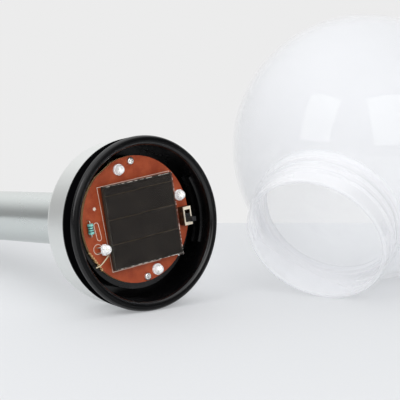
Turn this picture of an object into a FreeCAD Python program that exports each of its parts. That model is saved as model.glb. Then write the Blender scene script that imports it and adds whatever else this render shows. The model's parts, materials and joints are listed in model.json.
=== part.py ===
# A solar garden light taken apart for its battery: the lamp head with its stem lies on the collar's rim
# and on the tip of the ground spike, and the globe that screws into the collar lies beside it on its
# side. Millimetres, +Z up.
#
# Row frame: the origin is the centre of the footprint on the ground, +X is the horizontal direction in
# which the open collar faces, so the stem runs towards -X.
# Head frame: its origin is the centre of the collar's rim, local Z is the axis of the head and points
# out of the opening, local X and Y lie in the rim's plane and are turned with the circuit board.
# Board frame: the head frame moved to the middle of the board's top face.
# Globe frame: its origin is the middle of the sphere, local Z is the axis of the neck and points out.

import math
import os
import re

import FreeCAD
import Part
import Sketcher

DRIVING_SIZES = (
    # The collar and the shallow cup behind it
    ("rim_radius", 41.48, "outside of the rounded rim"),
    ("rim_round", 2.2, "rounding of the rim's two front edges"),
    ("rim_front", 2.24, "front of the rim, ahead of its widest circle"),
    ("collar_bore", 37.0, "inside of the collar, around the globe's thread"),
    ("band_depth", 8.77, "length of the collar that shows in front of the cup"),
    ("band_end_radius", 40.5, "outside of that band at its back edge"),
    ("cup_front_radius", 40.4, "outside of the cup at its mouth"),
    ("cup_back_radius", 38.9, "outside of the cup where its back corner starts"),
    ("cup_depth", 27.4, "back face of the cup behind the rim circle"),
    ("cup_corner", 4.6, "rounding of the cup's back corner"),
    ("cup_wall", 0.8, "sheet thickness of the cup"),
    ("fit_gap", 0.1, "gap between parts that are bonded or laid together"),
    ("seat_gap", 0.05, "gap between faces that rest on each other"),
    ("groove_depth", 21.0, "floor of the ring groove that takes the globe's neck"),
    ("moulding_wall", 1.5, "wall thickness of the black moulding"),
    ("wall_flare", 0.3, "moulding's wall at the groove's back, wider than at the cup's back"),
    ("boss_radius", 31.4, "outside of the battery housing inside the groove"),
    ("boss_bore", 28.4, "inside of the battery housing"),
    ("lug_reach", 1.1, "how far a thread lug stands in from the collar's bore"),
    ("lug_width", 2.4, "width of a thread lug's foot along the axis"),
    ("lug_span", 52.0, "angle that one thread lug covers"),
    ("lug_depth", 6.4, "middle of the first lug behind the rim circle"),
    ("cradle_place", 14.0, "inner face of a cradle rib, from the cell's middle"),
    ("cradle_width", 1.5, "thickness of a cradle rib"),
    ("cradle_margin", 1.0, "rib beyond the cell's sides"),
    ("cradle_height", 5.0, "height of a cradle rib"),
    # The stem and the spike
    ("spigot_radius", 12.58, "outside of the spigot that carries the stem"),
    ("spigot_bore", 10.4, "inside of the spigot"),
    ("spigot_end", 57.0, "end of the spigot behind the rim circle"),
    ("stem_radius", 13.35, "outside of the stem tube"),
    ("stem_bore", 12.65, "inside of the stem tube"),
    ("stem_end", 300.0, "end of the stem tube behind the rim circle"),
    ("plug_length", 40.0, "length of the spike's plug inside the tube"),
    ("plug_gap", 0.07, "running gap around the plug"),
    ("plug_wall", 2.0, "wall of the hollow plug, with the gap"),
    ("flange_radius", 13.2, "outside of the spike's flange"),
    ("flange_width", 2.6, "width of that flange along the axis"),
    ("blade_start_radius", 12.0, "half width of the spike's blades at the flange"),
    ("blade_thickness", 2.4, "thickness of a blade"),
    ("blade_sink", 0.5, "how far the blades start inside the flange"),
    ("core_radius", 2.6, "radius of the spike's core at the flange"),
    ("tip_radius", 2.0, "half width of the blades where the point starts"),
    ("tip_distance", 428.0, "start of the point behind the rim circle"),
    ("point_length", 3.0, "length of the spike's point"),
    ("point_radius", 0.5, "radius of the blunt end of the point"),
    # The circuit board
    ("board_turn", 6.3, "turn of the board about the head's axis, degrees"),
    ("board_radius", 30.3, "radius of the round board"),
    ("board_thickness", 1.6, "thickness of the board"),
    ("board_depth", 7.29, "top face of the board behind the rim circle"),
    ("board_rise", 1.8, "board's middle above the head's axis"),
    ("screw_across", 1.0, "both screws, sideways from the board's middle"),
    ("screw_up", 27.9, "upper screw above the board's middle"),
    ("screw_down", 28.1, "lower screw below the board's middle"),
    ("screw_radius", 1.1, "thread radius of a board screw"),
    ("screw_head_radius", 1.85, "head radius of a board screw"),
    ("screw_head_height", 1.4, "head height of a board screw"),
    ("recess_width", 0.6, "width of one arm of the screw's cross recess"),
    ("recess_length", 2.3, "length of one arm of the recess"),
    ("recess_depth", 0.9, "depth of the recess"),
    ("screw_hole_gap", 0.15, "clearance around a screw in the board"),
    ("pilot_extra", 1.0, "pilot hole beyond the screw's tip"),
    ("screw_length", 9.0, "length of a board screw below its head"),
    ("post_radius", 2.8, "radius of a screw post"),
    ("pin_radius", 0.4, "radius of a switch pin or a panel lead"),
    ("pin_hole_radius", 0.6, "board hole for a pin"),
    ("rest_gap", 0.02, "gap under a part that lies on the board"),
    # The solar panel
    ("panel_side", 39.6, "side of the square panel"),
    ("panel_across", 1.04, "panel's middle, sideways from the board's middle"),
    ("panel_drop", 0.9, "panel's middle below the board's middle"),
    ("foam_side", 36.0, "side of the foam pad under the panel"),
    ("foam_height", 2.2, "thickness of the foam pad"),
    ("backing_height", 1.5, "thickness of the panel's backing"),
    ("cell_height", 0.25, "thickness of a solar cell"),
    ("resin_height", 0.9, "thickness of the clear resin"),
    ("cell_margin", 0.8, "resin beyond the cells at the panel's edges"),
    ("cell_gap", 0.5, "gap between two cells"),
    # The light-emitting diodes
    ("led_flange_radius", 2.7, "rim at the foot of a diode"),
    ("led_flange_height", 1.0, "height of that rim"),
    ("led_radius", 2.35, "radius of a diode's barrel and dome"),
    ("led_dome_height", 1.6, "centre of the dome above the foot"),
    ("led_lead_radius", 0.25, "radius of a diode's lead"),
    ("led_lead_half", 1.27, "half the distance between two leads"),
    ("lead_gap", 0.03, "gap around a lead inside its diode"),
    ("lead_hole_radius", 0.45, "lead hole in the board"),
    # The slide switch
    ("switch_across", 26.43, "switch's middle, sideways from the board's middle"),
    ("switch_drop", 3.46, "switch's middle below the board's middle"),
    ("switch_width", 4.4, "width of the switch's metal frame"),
    ("switch_length", 9.0, "length of the switch's metal frame"),
    ("switch_height", 4.9, "top of the metal frame above the board"),
    ("switch_sheet", 0.35, "sheet thickness of the metal frame"),
    ("switch_base_height", 0.8, "thickness of the switch's base plate"),
    ("switch_base_inset", 0.15, "base plate inside the frame's outline, all round"),
    ("window_width", 3.2, "width of the frame's window"),
    ("window_length", 6.0, "length of the frame's window"),
    ("slider_length", 5.0, "length of the slider under the window"),
    ("slider_height", 1.6, "thickness of the slider"),
    ("slider_gap", 0.1, "running gap around the slider"),
    ("knob_width", 2.4, "width of the knob"),
    ("knob_length", 2.2, "length of the knob along its travel"),
    ("knob_top", 9.8, "top of the knob above the board"),
    ("knob_offset", 1.5, "knob's rest place below the switch's middle"),
    ("knob_round", 0.5, "rounding of the knob's top"),
    # The inductor
    ("inductor_across", 27.1, "inductor's middle, sideways from the board's middle"),
    ("inductor_rise", 0.8, "inductor's middle above the board's middle"),
    ("inductor_radius", 1.5, "radius of the inductor's barrel"),
    ("inductor_length", 5.0, "length of the inductor's barrel"),
    ("inductor_height", 1.65, "axis of the inductor above the board"),
    ("inductor_pitch", 7.5, "distance between the inductor's two lead holes"),
    ("inductor_lead_radius", 0.28, "radius of the inductor's leads"),
    # The driver chip under the board
    ("chip_length", 5.0, "length of the chip"),
    ("chip_width", 3.6, "width of the chip"),
    ("chip_height", 1.45, "thickness of the chip"),
    ("chip_across", 12.0, "chip's left end, sideways from the board's middle"),
    ("chip_drop", 16.0, "chip's lower side below the board's middle"),
    ("leg_pitch", 1.27, "distance between two legs of the chip"),
    ("leg_width", 0.5, "width of a leg"),
    ("leg_length", 2.95, "length of a leg"),
    ("leg_sheet", 0.35, "thickness of a leg"),
    # The battery
    ("cell_radius", 7.2, "outside of the rechargeable cell with its sleeve"),
    ("cell_sleeve", 0.2, "thickness of the cell's plastic sleeve"),
    ("cell_length", 50.0, "length of the cell over its nub"),
    ("cell_nub_radius", 2.7, "radius of the positive nub"),
    ("cell_nub_length", 1.2, "height of the positive nub"),
    ("cell_lift", 0.3, "cell above the housing's floor"),
    ("sleeve_gap", 0.03, "gap between the can and its sleeve"),
    ("sleeve_inset", 0.3, "bare can at each end of the sleeve"),
    ("contact_width", 9.0, "width of a contact plate"),
    ("contact_sheet", 0.4, "thickness of a contact plate"),
    ("contact_height", 13.0, "height of a contact plate"),
    ("spring_space", 2.2, "compressed length of the battery spring"),
    ("spring_wire_radius", 0.3, "radius of the spring's wire"),
    ("spring_radius", 4.0, "radius of the spring's widest coil"),
    ("wire_radius", 0.55, "outside of the battery wires"),
    # The globe
    ("globe_radius", 69.23, "outside of the sphere"),
    ("globe_wall", 2.0, "wall of the sphere"),
    ("neck_radius", 35.35, "outside of the neck"),
    ("neck_bore", 33.1, "inside of the neck"),
    ("neck_end", 81.69, "front of the neck from the sphere's middle"),
    ("lip_round", 0.9, "rounding of the neck's front edges"),
    ("neck_fillet", 1.8, "fillet between the sphere and the neck"),
    ("thread_sink", 0.5, "how far the ridge starts inside the neck"),
    ("thread_reach", 1.2, "height of the thread ridge"),
    ("thread_width", 2.4, "width of the thread ridge at its foot"),
    ("thread_pitch", 5.5, "rise of the thread in one turn"),
    ("thread_turns", 1.9, "turns of thread on the neck"),
    ("thread_start", 77.0, "middle of the ridge nearest the lip, from the sphere's middle"),
    ("seal_place", 63.4, "near face of the seal ring from the sphere's middle"),
    ("seal_width", 2.2, "width of the seal ring along the axis"),
    ("seal_reach", 2.3, "how far the seal ring stands out from the neck"),
    ("seal_gap", 0.08, "running gap between the seal ring and the neck"),
    ("seal_round", 0.8, "rounding of the seal ring's outer edges"),
    # Where the globe lies
    ("globe_ahead", 5.4, "sphere's middle ahead of the rim circle's middle"),
    ("globe_beside", 135.8, "sphere's middle beside the rim circle's middle"),
    ("neck_heading", 62.37, "how far the neck points back towards the head from +X, degrees"),
)

# Where the solar panel is split into cells, as shares of its height from the top.
CELL_STRIP_ENDS = (0.0, 0.115, 0.405, 0.70, 1.0)

# Thread lugs: how many around the collar, how many rows, how deep they start inside the wall, and half
# the width of their crest as a share of the width of their foot.
LUG_COUNT = 3
LUG_ROWS = 2
LUG_SINK = 0.4
LUG_CREST = 0.38

# Half the width of the globe's thread at its crest, as a share of the width of its foot.
THREAD_CREST = 0.2

# Diodes: name, place on the board, direction of the two leads. One leans over towards the panel: its
# angle, how far its foot is lifted and moved, and where its leads bend.
LEDS = (
    ("1", (-6.4, 25.0), (1.0, 0.0)),
    ("2", (26.2, 6.7), (0.0, 1.0)),
    ("3", (-24.3, -10.1), (0.0, 1.0)),
    ("4", (7.25, -25.9), (1.0, 0.0)),
)
LEANING_LED = "3"
LEAN_ANGLE = 28.0
LEAN_LIFT = 2.2
LEAN_SHIFT = 2.1
LEAN_BEND = 0.5

# Leads and pins: how far a diode's lead reaches into it, how far all of them stand out below the board,
# the switch's pin pitch, and where the panel's two leads are.
LEAD_TOP = 1.9
LEAD_BELOW = 1.4
SWITCH_PIN_PITCH = 2.5
PANEL_LEADS = ((-12.0, 9.0), (12.0, 9.0))

# The board's flat and its snapped edge, each by its two ends, and the half holes along the latter.
BOARD_FLAT = ((-9.0, 28.95), (-19.5, 23.4))
BOARD_SNAP = ((-28.6, -10.2), (-22.8, -19.9))
SNAP_BITES = 8
SNAP_BITE_RADIUS = 0.45

# A tool that cuts through the board or the foam stands this high, half of it above the board's face.
TOOL_HEIGHT = 10.0
TOOL_FOOT = -TOOL_HEIGHT / 2
EDGE_TOOL_WIDTH = 6.0

# Screws: rounding as a share of the head's height, and how each one is turned, in degrees.
HEAD_ROUNDING = 0.62
RECESS_TURNS = (45.0, -5.0)

# The inductor's waisted barrel: height above its end, and radius as a share of its full radius.
BARREL_STEPS = ((0.0, 0.82), (0.4, 1.0), (1.2, 1.0), (1.6, 0.86))

# Routes of the jumper wire over the board and of the two battery wires in the housing.
JUMPER_ROUTE = (
    (-19.5, -13.1, 0.1), (-19.7, -13.3, 1.7), (-22.4, -15.6, 1.5), (-24.7, -17.4, 0.9), (-26.9, -17.8, 0.6),
)
JUMPER_RADIUS = 0.3
WIRE_LEVEL = -16.0
RED_ROUTE_END = ((21.8, 11.8, -13.0), (20.5, 13.2, -9.25))
BLACK_ROUTE_END = ((-25.9, 7.6, WIRE_LEVEL), (-21.8, 11.8, -13.0), (-20.5, 13.2, -9.25))
RED_TURN = 8.3

# The battery spring's turns, and its taper in degrees.
SPRING_TURNS = 2.4
SPRING_TAPER = -22

document = FreeCAD.newDocument("solar_garden_light")
sheet = document.addObject("Spreadsheet::Sheet", "Dims")
node_objects = []


def fill_sheet():
    """Writes each driving size beside its name, as plain text."""
    for row, (alias, size, meaning) in enumerate(DRIVING_SIZES, start=1):
        sheet.set(f"A{row}", alias)
        sheet.set(f"B{row}", str(size))
        sheet.set(f"C{row}", meaning)
        sheet.setAlias(f"B{row}", alias)
    document.recompute()


def bound(text):
    """'rim_radius - 2' becomes 'Dims.rim_radius - 2', which setExpression can read."""
    return re.sub(r"[a-z][a-z_]+(?![a-z_(])", lambda word: "Dims." + word.group(), text)


def size(text):
    """The number that an expression of the sheet's names stands for."""
    return float(sheet.evalExpression(bound(text)))


def keep(item, label):
    """Marks an object as a node of the light: its label is the name of its file."""
    item.Label = label
    node_objects.append(item)
    return item


def turned(x=0.0, y=0.0, z=0.0, axis=(0, 0, 1), angle=0.0):
    """A placement from a shift and a turn about an axis."""
    return FreeCAD.Placement(
        FreeCAD.Vector(x, y, z), FreeCAD.Rotation(FreeCAD.Vector(*axis), angle)
    )


# ------------------------------------------------------------------ PartDesign helpers


def new_body(label, placement):
    body = document.addObject("PartDesign::Body", label + "_body")
    body.Placement = placement
    return keep(body, label)


def origin_plane(body, role):
    """A plane or an axis of the body's origin."""
    return next(item for item in body.Origin.OriginFeatures if item.Role == role)


def new_sketch(body, name, role, height=None):
    sketch = body.newObject("Sketcher::SketchObject", name)
    sketch.AttachmentSupport = [(origin_plane(body, role), "")]
    sketch.MapMode = "FlatFace"
    if height is not None:
        sketch.setExpression("AttachmentOffset.Base.z", bound(height))
    return sketch


def hold_point(sketch, geometry, point, across, along):
    """Ties one point of a sketch to two expressions of the sheet."""
    for kind, text in (("DistanceX", across), ("DistanceY", along)):
        index = sketch.addConstraint(
            Sketcher.Constraint(kind, -1, 1, geometry, point, size(text))
        )
        sketch.setExpression(f"Constraints[{index}]", bound(text))


def polygon(sketch, corners):
    """A closed outline of straight sides whose corners are pairs of expressions."""
    points = [FreeCAD.Vector(size(across), size(along), 0) for across, along in corners]
    first = sketch.GeometryCount
    count = len(points)
    for index in range(count):
        sketch.addGeometry(Part.LineSegment(points[index], points[(index + 1) % count]), False)
    for index in range(count):
        following = first + (index + 1) % count
        sketch.addConstraint(Sketcher.Constraint("Coincident", first + index, 2, following, 1))
    for index, (across, along) in enumerate(corners):
        hold_point(sketch, first + index, 1, across, along)


def circle(sketch, across, along, radius):
    """A circle whose middle and radius are expressions."""
    middle = FreeCAD.Vector(size(across), size(along), 0)
    index = sketch.addGeometry(Part.Circle(middle, FreeCAD.Vector(0, 0, 1), size(radius)), False)
    hold_point(sketch, index, 3, across, along)
    held = sketch.addConstraint(Sketcher.Constraint("Radius", index, size(radius)))
    sketch.setExpression(f"Constraints[{held}]", bound(radius))


def revolve(body, name, corners, angle=360.0):
    """Turns an outline, given as radius and height, about the body's Z axis."""
    sketch = new_sketch(body, name + "_outline", "XZ_Plane")
    polygon(sketch, corners)
    feature = body.newObject("PartDesign::Revolution", name)
    feature.Profile = sketch
    feature.ReferenceAxis = (sketch, ["V_Axis"])
    feature.Angle = angle
    feature.Midplane = angle < 360.0
    return feature


def pad(body, name, sketch, length):
    feature = body.newObject("PartDesign::Pad", name)
    feature.Profile = sketch
    feature.setExpression("Length", bound(length))
    return feature


def pocket(body, name, sketch, length):
    """Cuts from the sketch's plane towards +Z."""
    feature = body.newObject("PartDesign::Pocket", name)
    feature.Profile = sketch
    feature.setExpression("Length", bound(length))
    feature.Reversed = True
    return feature


def round_circles(body, name, radius, wanted):
    """Fillets the circular edges whose (radius, height) are in the wanted list of expressions."""
    document.recompute()
    base = body.Tip
    targets = [(size(edge_radius), size(height)) for edge_radius, height in wanted]
    names = []
    for index, edge in enumerate(base.Shape.Edges, start=1):
        if edge.Degenerated or not isinstance(edge.Curve, Part.Circle):
            continue
        for edge_radius, height in targets:
            near_radius = abs(edge.Curve.Radius - edge_radius) < 0.02
            near_height = abs(edge.Curve.Center.z - height) < 0.02
            if near_radius and near_height:
                names.append(f"Edge{index}")
    feature = body.newObject("PartDesign::Fillet", name)
    feature.Base = (base, names)
    feature.setExpression("Radius", bound(radius))
    return feature


def primitive(body, kind, name, **sizes):
    """A PartDesign primitive whose sizes are expressions; Z is its shift along the body's axis."""
    feature = body.newObject("PartDesign::" + kind, name)
    shift = sizes.pop("Z", "0")
    for prop, text in sizes.items():
        feature.setExpression(prop, bound(text))
    feature.AttachmentOffset = turned(z=size(shift))
    feature.setExpression("AttachmentOffset.Base.z", bound(shift))
    feature.AttachmentSupport = [(origin_plane(body, "XY_Plane"), "")]
    feature.MapMode = "FlatFace"
    return feature


# ------------------------------------------------------------------ Part helpers


def solid(kind, name, placement, **sizes):
    """A Part primitive whose sizes are expressions."""
    item = document.addObject("Part::" + kind, name)
    for prop, text in sizes.items():
        item.setExpression(prop, bound(text))
    item.Placement = placement
    return item


def centred_box(name, frame, across, along, low, width, length, height):
    """A box by its middle in X and Y and its lowest face, all expressions in a frame."""
    corner_x = size(f"{across} - ({width}) / 2")
    corner_y = size(f"{along} - ({length}) / 2")
    place = frame.multiply(turned(corner_x, corner_y, size(low)))
    return solid("Box", name, place, Length=width, Width=length, Height=height)


def upright(name, frame, across, along, low, radius, height):
    """A cylinder along the frame's Z, by its foot."""
    place = frame.multiply(turned(across, along, low))
    return solid("Cylinder", name, place, Radius=radius, Height=height)


def cut(name, base, tools):
    """The base with each tool taken away."""
    item = base
    for index, tool in enumerate(tools):
        step = document.addObject("Part::Cut", f"{name}_cut_{index}")
        step.Base = item
        step.Tool = tool
        item = step
    return item


def group(name, members):
    """Separate solids that share one node."""
    item = document.addObject("Part::Compound", name + "_group")
    item.Links = members
    return item


def wire_shape(points, radius):
    """A round wire along straight runs that tangent arcs join, with its length checked."""
    corners = [FreeCAD.Vector(*point) for point in points]
    edges = []
    start = corners[0]
    for before, corner, after in zip(corners, corners[1:], corners[2:]):
        to_before = (before - corner).normalize()
        to_after = (after - corner).normalize()
        shorter = min((before - corner).Length, (after - corner).Length)
        half_turn = (math.pi - to_before.getAngle(to_after)) / 2
        setback = 0.45 * shorter
        bend_radius = setback / math.tan(half_turn)
        arc_start = corner + to_before * setback
        arc_end = corner + to_after * setback
        inward = (to_before + to_after).normalize()
        reach = math.hypot(setback, bend_radius) - bend_radius
        edges.append(Part.LineSegment(start, arc_start).toShape())
        edges.append(Part.Arc(arc_start, corner + inward * reach, arc_end).toShape())
        print(f"bend radius {bend_radius:.2f}")
        start = arc_end
    edges.append(Part.LineSegment(start, corners[-1]).toShape())
    path = Part.Wire(edges)
    heading = (corners[1] - corners[0]).normalize()
    profile = Part.Wire([Part.Circle(corners[0], heading, radius).toShape()])
    tube = path.makePipeShell([profile], True, False)
    expected = math.pi * radius**2 * path.Length
    if abs(tube.Volume - expected) > 0.02 * expected:
        raise ValueError("a wire's volume is not its section times its length")
    return tube


def shape_node(label, shape, placement):
    """A node whose shape comes from Part's own functions."""
    item = document.addObject("Part::Feature", label + "_shape")
    item.Shape = shape
    item.Placement = placement
    return keep(item, label)


# ------------------------------------------------------------------ where things lie


def head_tilt():
    """The head's axis rises by this angle, because the rim and the spike's tip both touch the ground."""
    ring = size("rim_radius - rim_front")
    lever = ring - size("tip_radius")
    distance = size("tip_distance")
    return math.atan2(lever, distance) + math.asin(size("rim_front") / math.hypot(lever, distance))


def globe_tilt():
    """The neck points down by this angle, because the sphere and the neck's lip both touch the ground."""
    lip = size("lip_round")
    along = size("neck_end") - lip
    across = size("neck_radius") - lip
    reach = math.hypot(along, across)
    return math.asin((size("globe_radius") - lip) / reach) - math.atan2(across, along)


def rim_middle():
    """Middle of the rim circle, with the origin under the middle of the light's bounding box."""
    tilt = head_tilt()
    back = size("tip_distance + point_length") * math.cos(tilt) + size("point_radius") * math.sin(tilt)
    front = size("globe_ahead + globe_radius")
    left = size("rim_radius")
    right = size("globe_beside + globe_radius")
    height = size("rim_radius - rim_front") * math.cos(tilt) + size("rim_front")
    return FreeCAD.Vector((back - front) / 2, (left - right) / 2, height)


def axes(x_axis, y_axis, z_axis, origin):
    """A frame from its axes; Z counts first, then X."""
    rotation = FreeCAD.Rotation(x_axis, y_axis, z_axis, "ZXY")
    return FreeCAD.Placement(origin, rotation)


def head_frame():
    tilt = head_tilt()
    sideways = FreeCAD.Vector(0, 1, 0)
    upward = FreeCAD.Vector(-math.sin(tilt), 0, math.cos(tilt))
    outward = FreeCAD.Vector(math.cos(tilt), 0, math.sin(tilt))
    level = axes(sideways, upward, outward, rim_middle())
    return level.multiply(turned(angle=size("board_turn")))


def globe_frame():
    tilt = globe_tilt()
    heading = -math.radians(size("neck_heading"))
    level = FreeCAD.Vector(math.cos(heading), math.sin(heading), 0)
    sideways = FreeCAD.Vector(-math.sin(heading), math.cos(heading), 0)
    outward = level * math.cos(tilt) - FreeCAD.Vector(0, 0, math.sin(tilt))
    middle = rim_middle()
    origin = FreeCAD.Vector(
        middle.x + size("globe_ahead"), middle.y + size("globe_beside"), size("globe_radius")
    )
    return axes(sideways, outward.cross(sideways), outward, origin)


# ------------------------------------------------------------------ the head

BOARD_SEAT = "-board_depth - board_thickness - seat_gap"


def make_cup(head):
    """The silver cup: a tapered shell with a hole for the spigot in its back."""
    body = new_body("head_cup", head)
    revolve(body, "shell", (
        ("cup_front_radius", "-band_depth - fit_gap"),
        ("cup_back_radius", "-cup_depth"),
        ("spigot_radius + fit_gap", "-cup_depth"),
        ("spigot_radius + fit_gap", "-cup_depth + cup_wall"),
        ("cup_back_radius - cup_wall", "-cup_depth + cup_wall"),
        ("cup_front_radius - cup_wall", "-band_depth - fit_gap"),
    ))
    round_circles(body, "outer_corner", "cup_corner", (("cup_back_radius", "-cup_depth"),))
    round_circles(body, "inner_corner", "cup_corner - cup_wall", (
        ("cup_back_radius - cup_wall", "-cup_depth + cup_wall"),
    ))


def make_collar(head):
    """The black moulding: rim, thread lugs, ring groove, battery housing, screw posts and spigot."""
    body = new_body("collar_insert", head)
    base_back = "-cup_depth + cup_wall + fit_gap"
    wall_front = "cup_front_radius - cup_wall - fit_gap"
    wall_back = "cup_back_radius - cup_wall - fit_gap + wall_flare"
    groove_back = "-groove_depth - moulding_wall"
    revolve(body, "moulding", (
        ("rim_radius", "rim_front"),
        ("rim_radius", "0"),
        ("band_end_radius", "-band_depth"),
        (wall_front, "-band_depth"),
        (wall_back, groove_back),
        ("boss_radius + moulding_wall", groove_back),
        ("boss_radius", base_back),
        ("spigot_radius", base_back),
        ("spigot_radius", "-spigot_end"),
        ("spigot_bore", "-spigot_end"),
        ("spigot_bore", base_back),
        ("0", base_back),
        ("0", base_back + " + moulding_wall"),
        ("boss_bore", base_back + " + moulding_wall"),
        ("boss_bore", BOARD_SEAT),
        ("boss_radius", BOARD_SEAT),
        ("boss_radius", "-groove_depth"),
        ("collar_bore", "-groove_depth"),
        ("collar_bore", "rim_front"),
    ))
    round_circles(body, "rounded_rim", "rim_round", (
        ("rim_radius", "rim_front"),
        ("collar_bore", "rim_front"),
    ))
    add_screw_posts(body, base_back)
    add_cell_cradles(body, base_back)
    add_lugs(body)


def add_screw_posts(body, base_back):
    """Two posts with pilot holes, merged with the battery housing's wall."""
    places = (
        ("screw_across", "board_rise + screw_up"),
        ("screw_across", "board_rise - screw_down"),
    )
    floor = base_back + " + moulding_wall / 2"
    posts = new_sketch(body, "post_circles", "XY_Plane", floor)
    holes = new_sketch(body, "pilot_circles", "XY_Plane", BOARD_SEAT + " - screw_length - pilot_extra")
    for across, along in places:
        circle(posts, across, along, "post_radius")
        circle(holes, across, along, "screw_radius + seat_gap")
    pad(body, "posts", posts, f"{BOARD_SEAT} - ({floor})")
    pocket(body, "pilot_holes", holes, "screw_length + 2 * pilot_extra")


def add_cell_cradles(body, base_back):
    """Two ribs on the floor of the housing, hollowed to the cell's radius."""
    floor = base_back + " + moulding_wall / 2"
    ribs = new_sketch(body, "rib_outlines", "XY_Plane", floor)
    half = "(cell_radius + cradle_margin)"
    for side in ("-", ""):
        near = f"{side}cradle_place"
        far = f"{side}(cradle_place + cradle_width)"
        polygon(ribs, ((near, "-" + half), (far, "-" + half), (far, half), (near, half)))
    pad(body, "ribs", ribs, "moulding_wall / 2 + cradle_height")
    hollow = new_sketch(body, "cradle_circle", "YZ_Plane")
    circle(hollow, "0", base_back + " + moulding_wall + cell_lift + cell_radius", "cell_radius + fit_gap")
    feature = body.newObject("PartDesign::Pocket", "cradles")
    feature.Profile = hollow
    feature.setExpression("Length", bound("2 * (cradle_place + 2 * cradle_width)"))
    feature.Midplane = True


def add_lugs(body):
    """Thread lugs inside the collar, in rows one thread pitch apart."""
    lugs = []
    for row in range(LUG_ROWS):
        middle = f"-lug_depth - {row} * thread_pitch"
        lugs.append(revolve(body, f"lug_{row + 1}", (
            (f"collar_bore + {LUG_SINK}", f"{middle} - lug_width / 2"),
            (f"collar_bore + {LUG_SINK}", f"{middle} + lug_width / 2"),
            ("collar_bore - lug_reach", f"{middle} + lug_width * {LUG_CREST}"),
            ("collar_bore - lug_reach", f"{middle} - lug_width * {LUG_CREST}"),
        ), angle=size("lug_span")))
    pattern = body.newObject("PartDesign::PolarPattern", "lug_pattern")
    pattern.Originals = lugs
    pattern.Axis = (origin_plane(body, "Z_Axis"), [""])
    pattern.Angle = 360
    pattern.Occurrences = LUG_COUNT
    body.Tip = pattern


def make_stem(head):
    """The straight tube between the head and the spike."""
    body = new_body("stem_tube", head)
    sketch = new_sketch(body, "tube_circles", "XY_Plane", "-stem_end")
    circle(sketch, "0", "0", "stem_radius")
    circle(sketch, "0", "0", "stem_bore")
    pad(body, "tube", sketch, "stem_end - cup_depth - seat_gap")


def make_spike(head):
    """The ground spike: a hollow plug, a flange, and four tapered blades that meet in a point."""
    body = new_body("ground_spike", head)
    flange_top = "-stem_end - seat_gap"
    flange_back = flange_top + " - flange_width"
    plug_top = "-stem_end + plug_length"
    revolve(body, "plug", (
        ("stem_bore - plug_gap", plug_top),
        ("stem_bore - plug_gap", flange_top),
        ("flange_radius", flange_top),
        ("flange_radius", flange_back),
        ("0", flange_back),
        ("0", flange_top),
        ("stem_bore - plug_wall", flange_top),
        ("stem_bore - plug_wall", plug_top),
    ))
    for role, name in (("XZ_Plane", "upright"), ("YZ_Plane", "level")):
        sketch = new_sketch(body, name + "_blade_outline", role)
        polygon(sketch, (
            ("blade_start_radius", flange_back + " + blade_sink"),
            ("tip_radius", "-tip_distance"),
            ("-tip_radius", "-tip_distance"),
            ("-blade_start_radius", flange_back + " + blade_sink"),
        ))
        blade = pad(body, name + "_blades", sketch, "blade_thickness")
        blade.Midplane = True
    revolve(body, "core", (
        ("0", flange_back),
        ("core_radius", flange_back),
        ("tip_radius", "-tip_distance"),
        ("point_radius", "-tip_distance - point_length"),
        ("0", "-tip_distance - point_length"),
    ))


# ------------------------------------------------------------------ the circuit board and what it carries


def make_board(board):
    """The round board with its flat, its snapped edge and all its holes."""
    base = upright("board_disc", board, 0, 0, -size("board_thickness"), "board_radius", "board_thickness")
    tools = [board_edge_cut(board, BOARD_FLAT, "flat"), board_edge_cut(board, BOARD_SNAP, "snap")]
    tools += snap_bites(board)
    tools += lead_holes(board)
    keep(cut("board", base, tools), "circuit_board")


def board_edge_cut(board, ends, name):
    """A block whose near face lies on the straight edge between two points of the board's outline."""
    (x_1, y_1), (x_2, y_2) = ends
    angle = math.degrees(math.atan2(y_2 - y_1, x_2 - x_1))
    along = math.hypot(x_2 - x_1, y_2 - y_1)
    outward = turned(angle=angle).multVec(FreeCAD.Vector(0, 1, 0))
    side = 1 if outward.dot(FreeCAD.Vector(x_1 + x_2, y_1 + y_2, 0)) > 0 else -1
    place = board.multiply(turned(x_1, y_1, TOOL_FOOT, angle=angle))
    local = turned(-along / 2, 0 if side > 0 else -EDGE_TOOL_WIDTH, 0)
    item = document.addObject("Part::Box", "board_edge_" + name)
    item.Length = 2 * along
    item.Width = EDGE_TOOL_WIDTH
    item.Height = TOOL_HEIGHT
    item.Placement = place.multiply(local)
    return item


def through_hole(name, board, x, y, radius):
    return upright(name, board, x, y, TOOL_FOOT, radius, str(TOOL_HEIGHT))


def snap_bites(board):
    """Half holes along the edge where the board was snapped off its panel."""
    (x_1, y_1), (x_2, y_2) = BOARD_SNAP
    bites = []
    for index in range(SNAP_BITES):
        share = (index + 0.5) / SNAP_BITES
        x = x_1 + (x_2 - x_1) * share
        y = y_1 + (y_2 - y_1) * share
        bites.append(through_hole(f"bite_{index}", board, x, y, str(SNAP_BITE_RADIUS)))
    return bites


def led_leads(place, direction):
    """The two points where a diode's leads cross the board."""
    half = size("led_lead_half")
    return [
        (place[0] + sign * half * direction[0], place[1] + sign * half * direction[1])
        for sign in (-1, 1)
    ]


def screw_places():
    across = size("screw_across")
    return ((across, size("screw_up")), (across, -size("screw_down")))


def inductor_holes():
    half = size("inductor_pitch / 2")
    across = -size("inductor_across")
    rise = size("inductor_rise")
    return ((across, rise + half), (across, rise - half))


def switch_pins():
    across = size("switch_across")
    middle = -size("switch_drop")
    return [(across, middle + step * SWITCH_PIN_PITCH) for step in (-1, 0, 1)]


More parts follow.
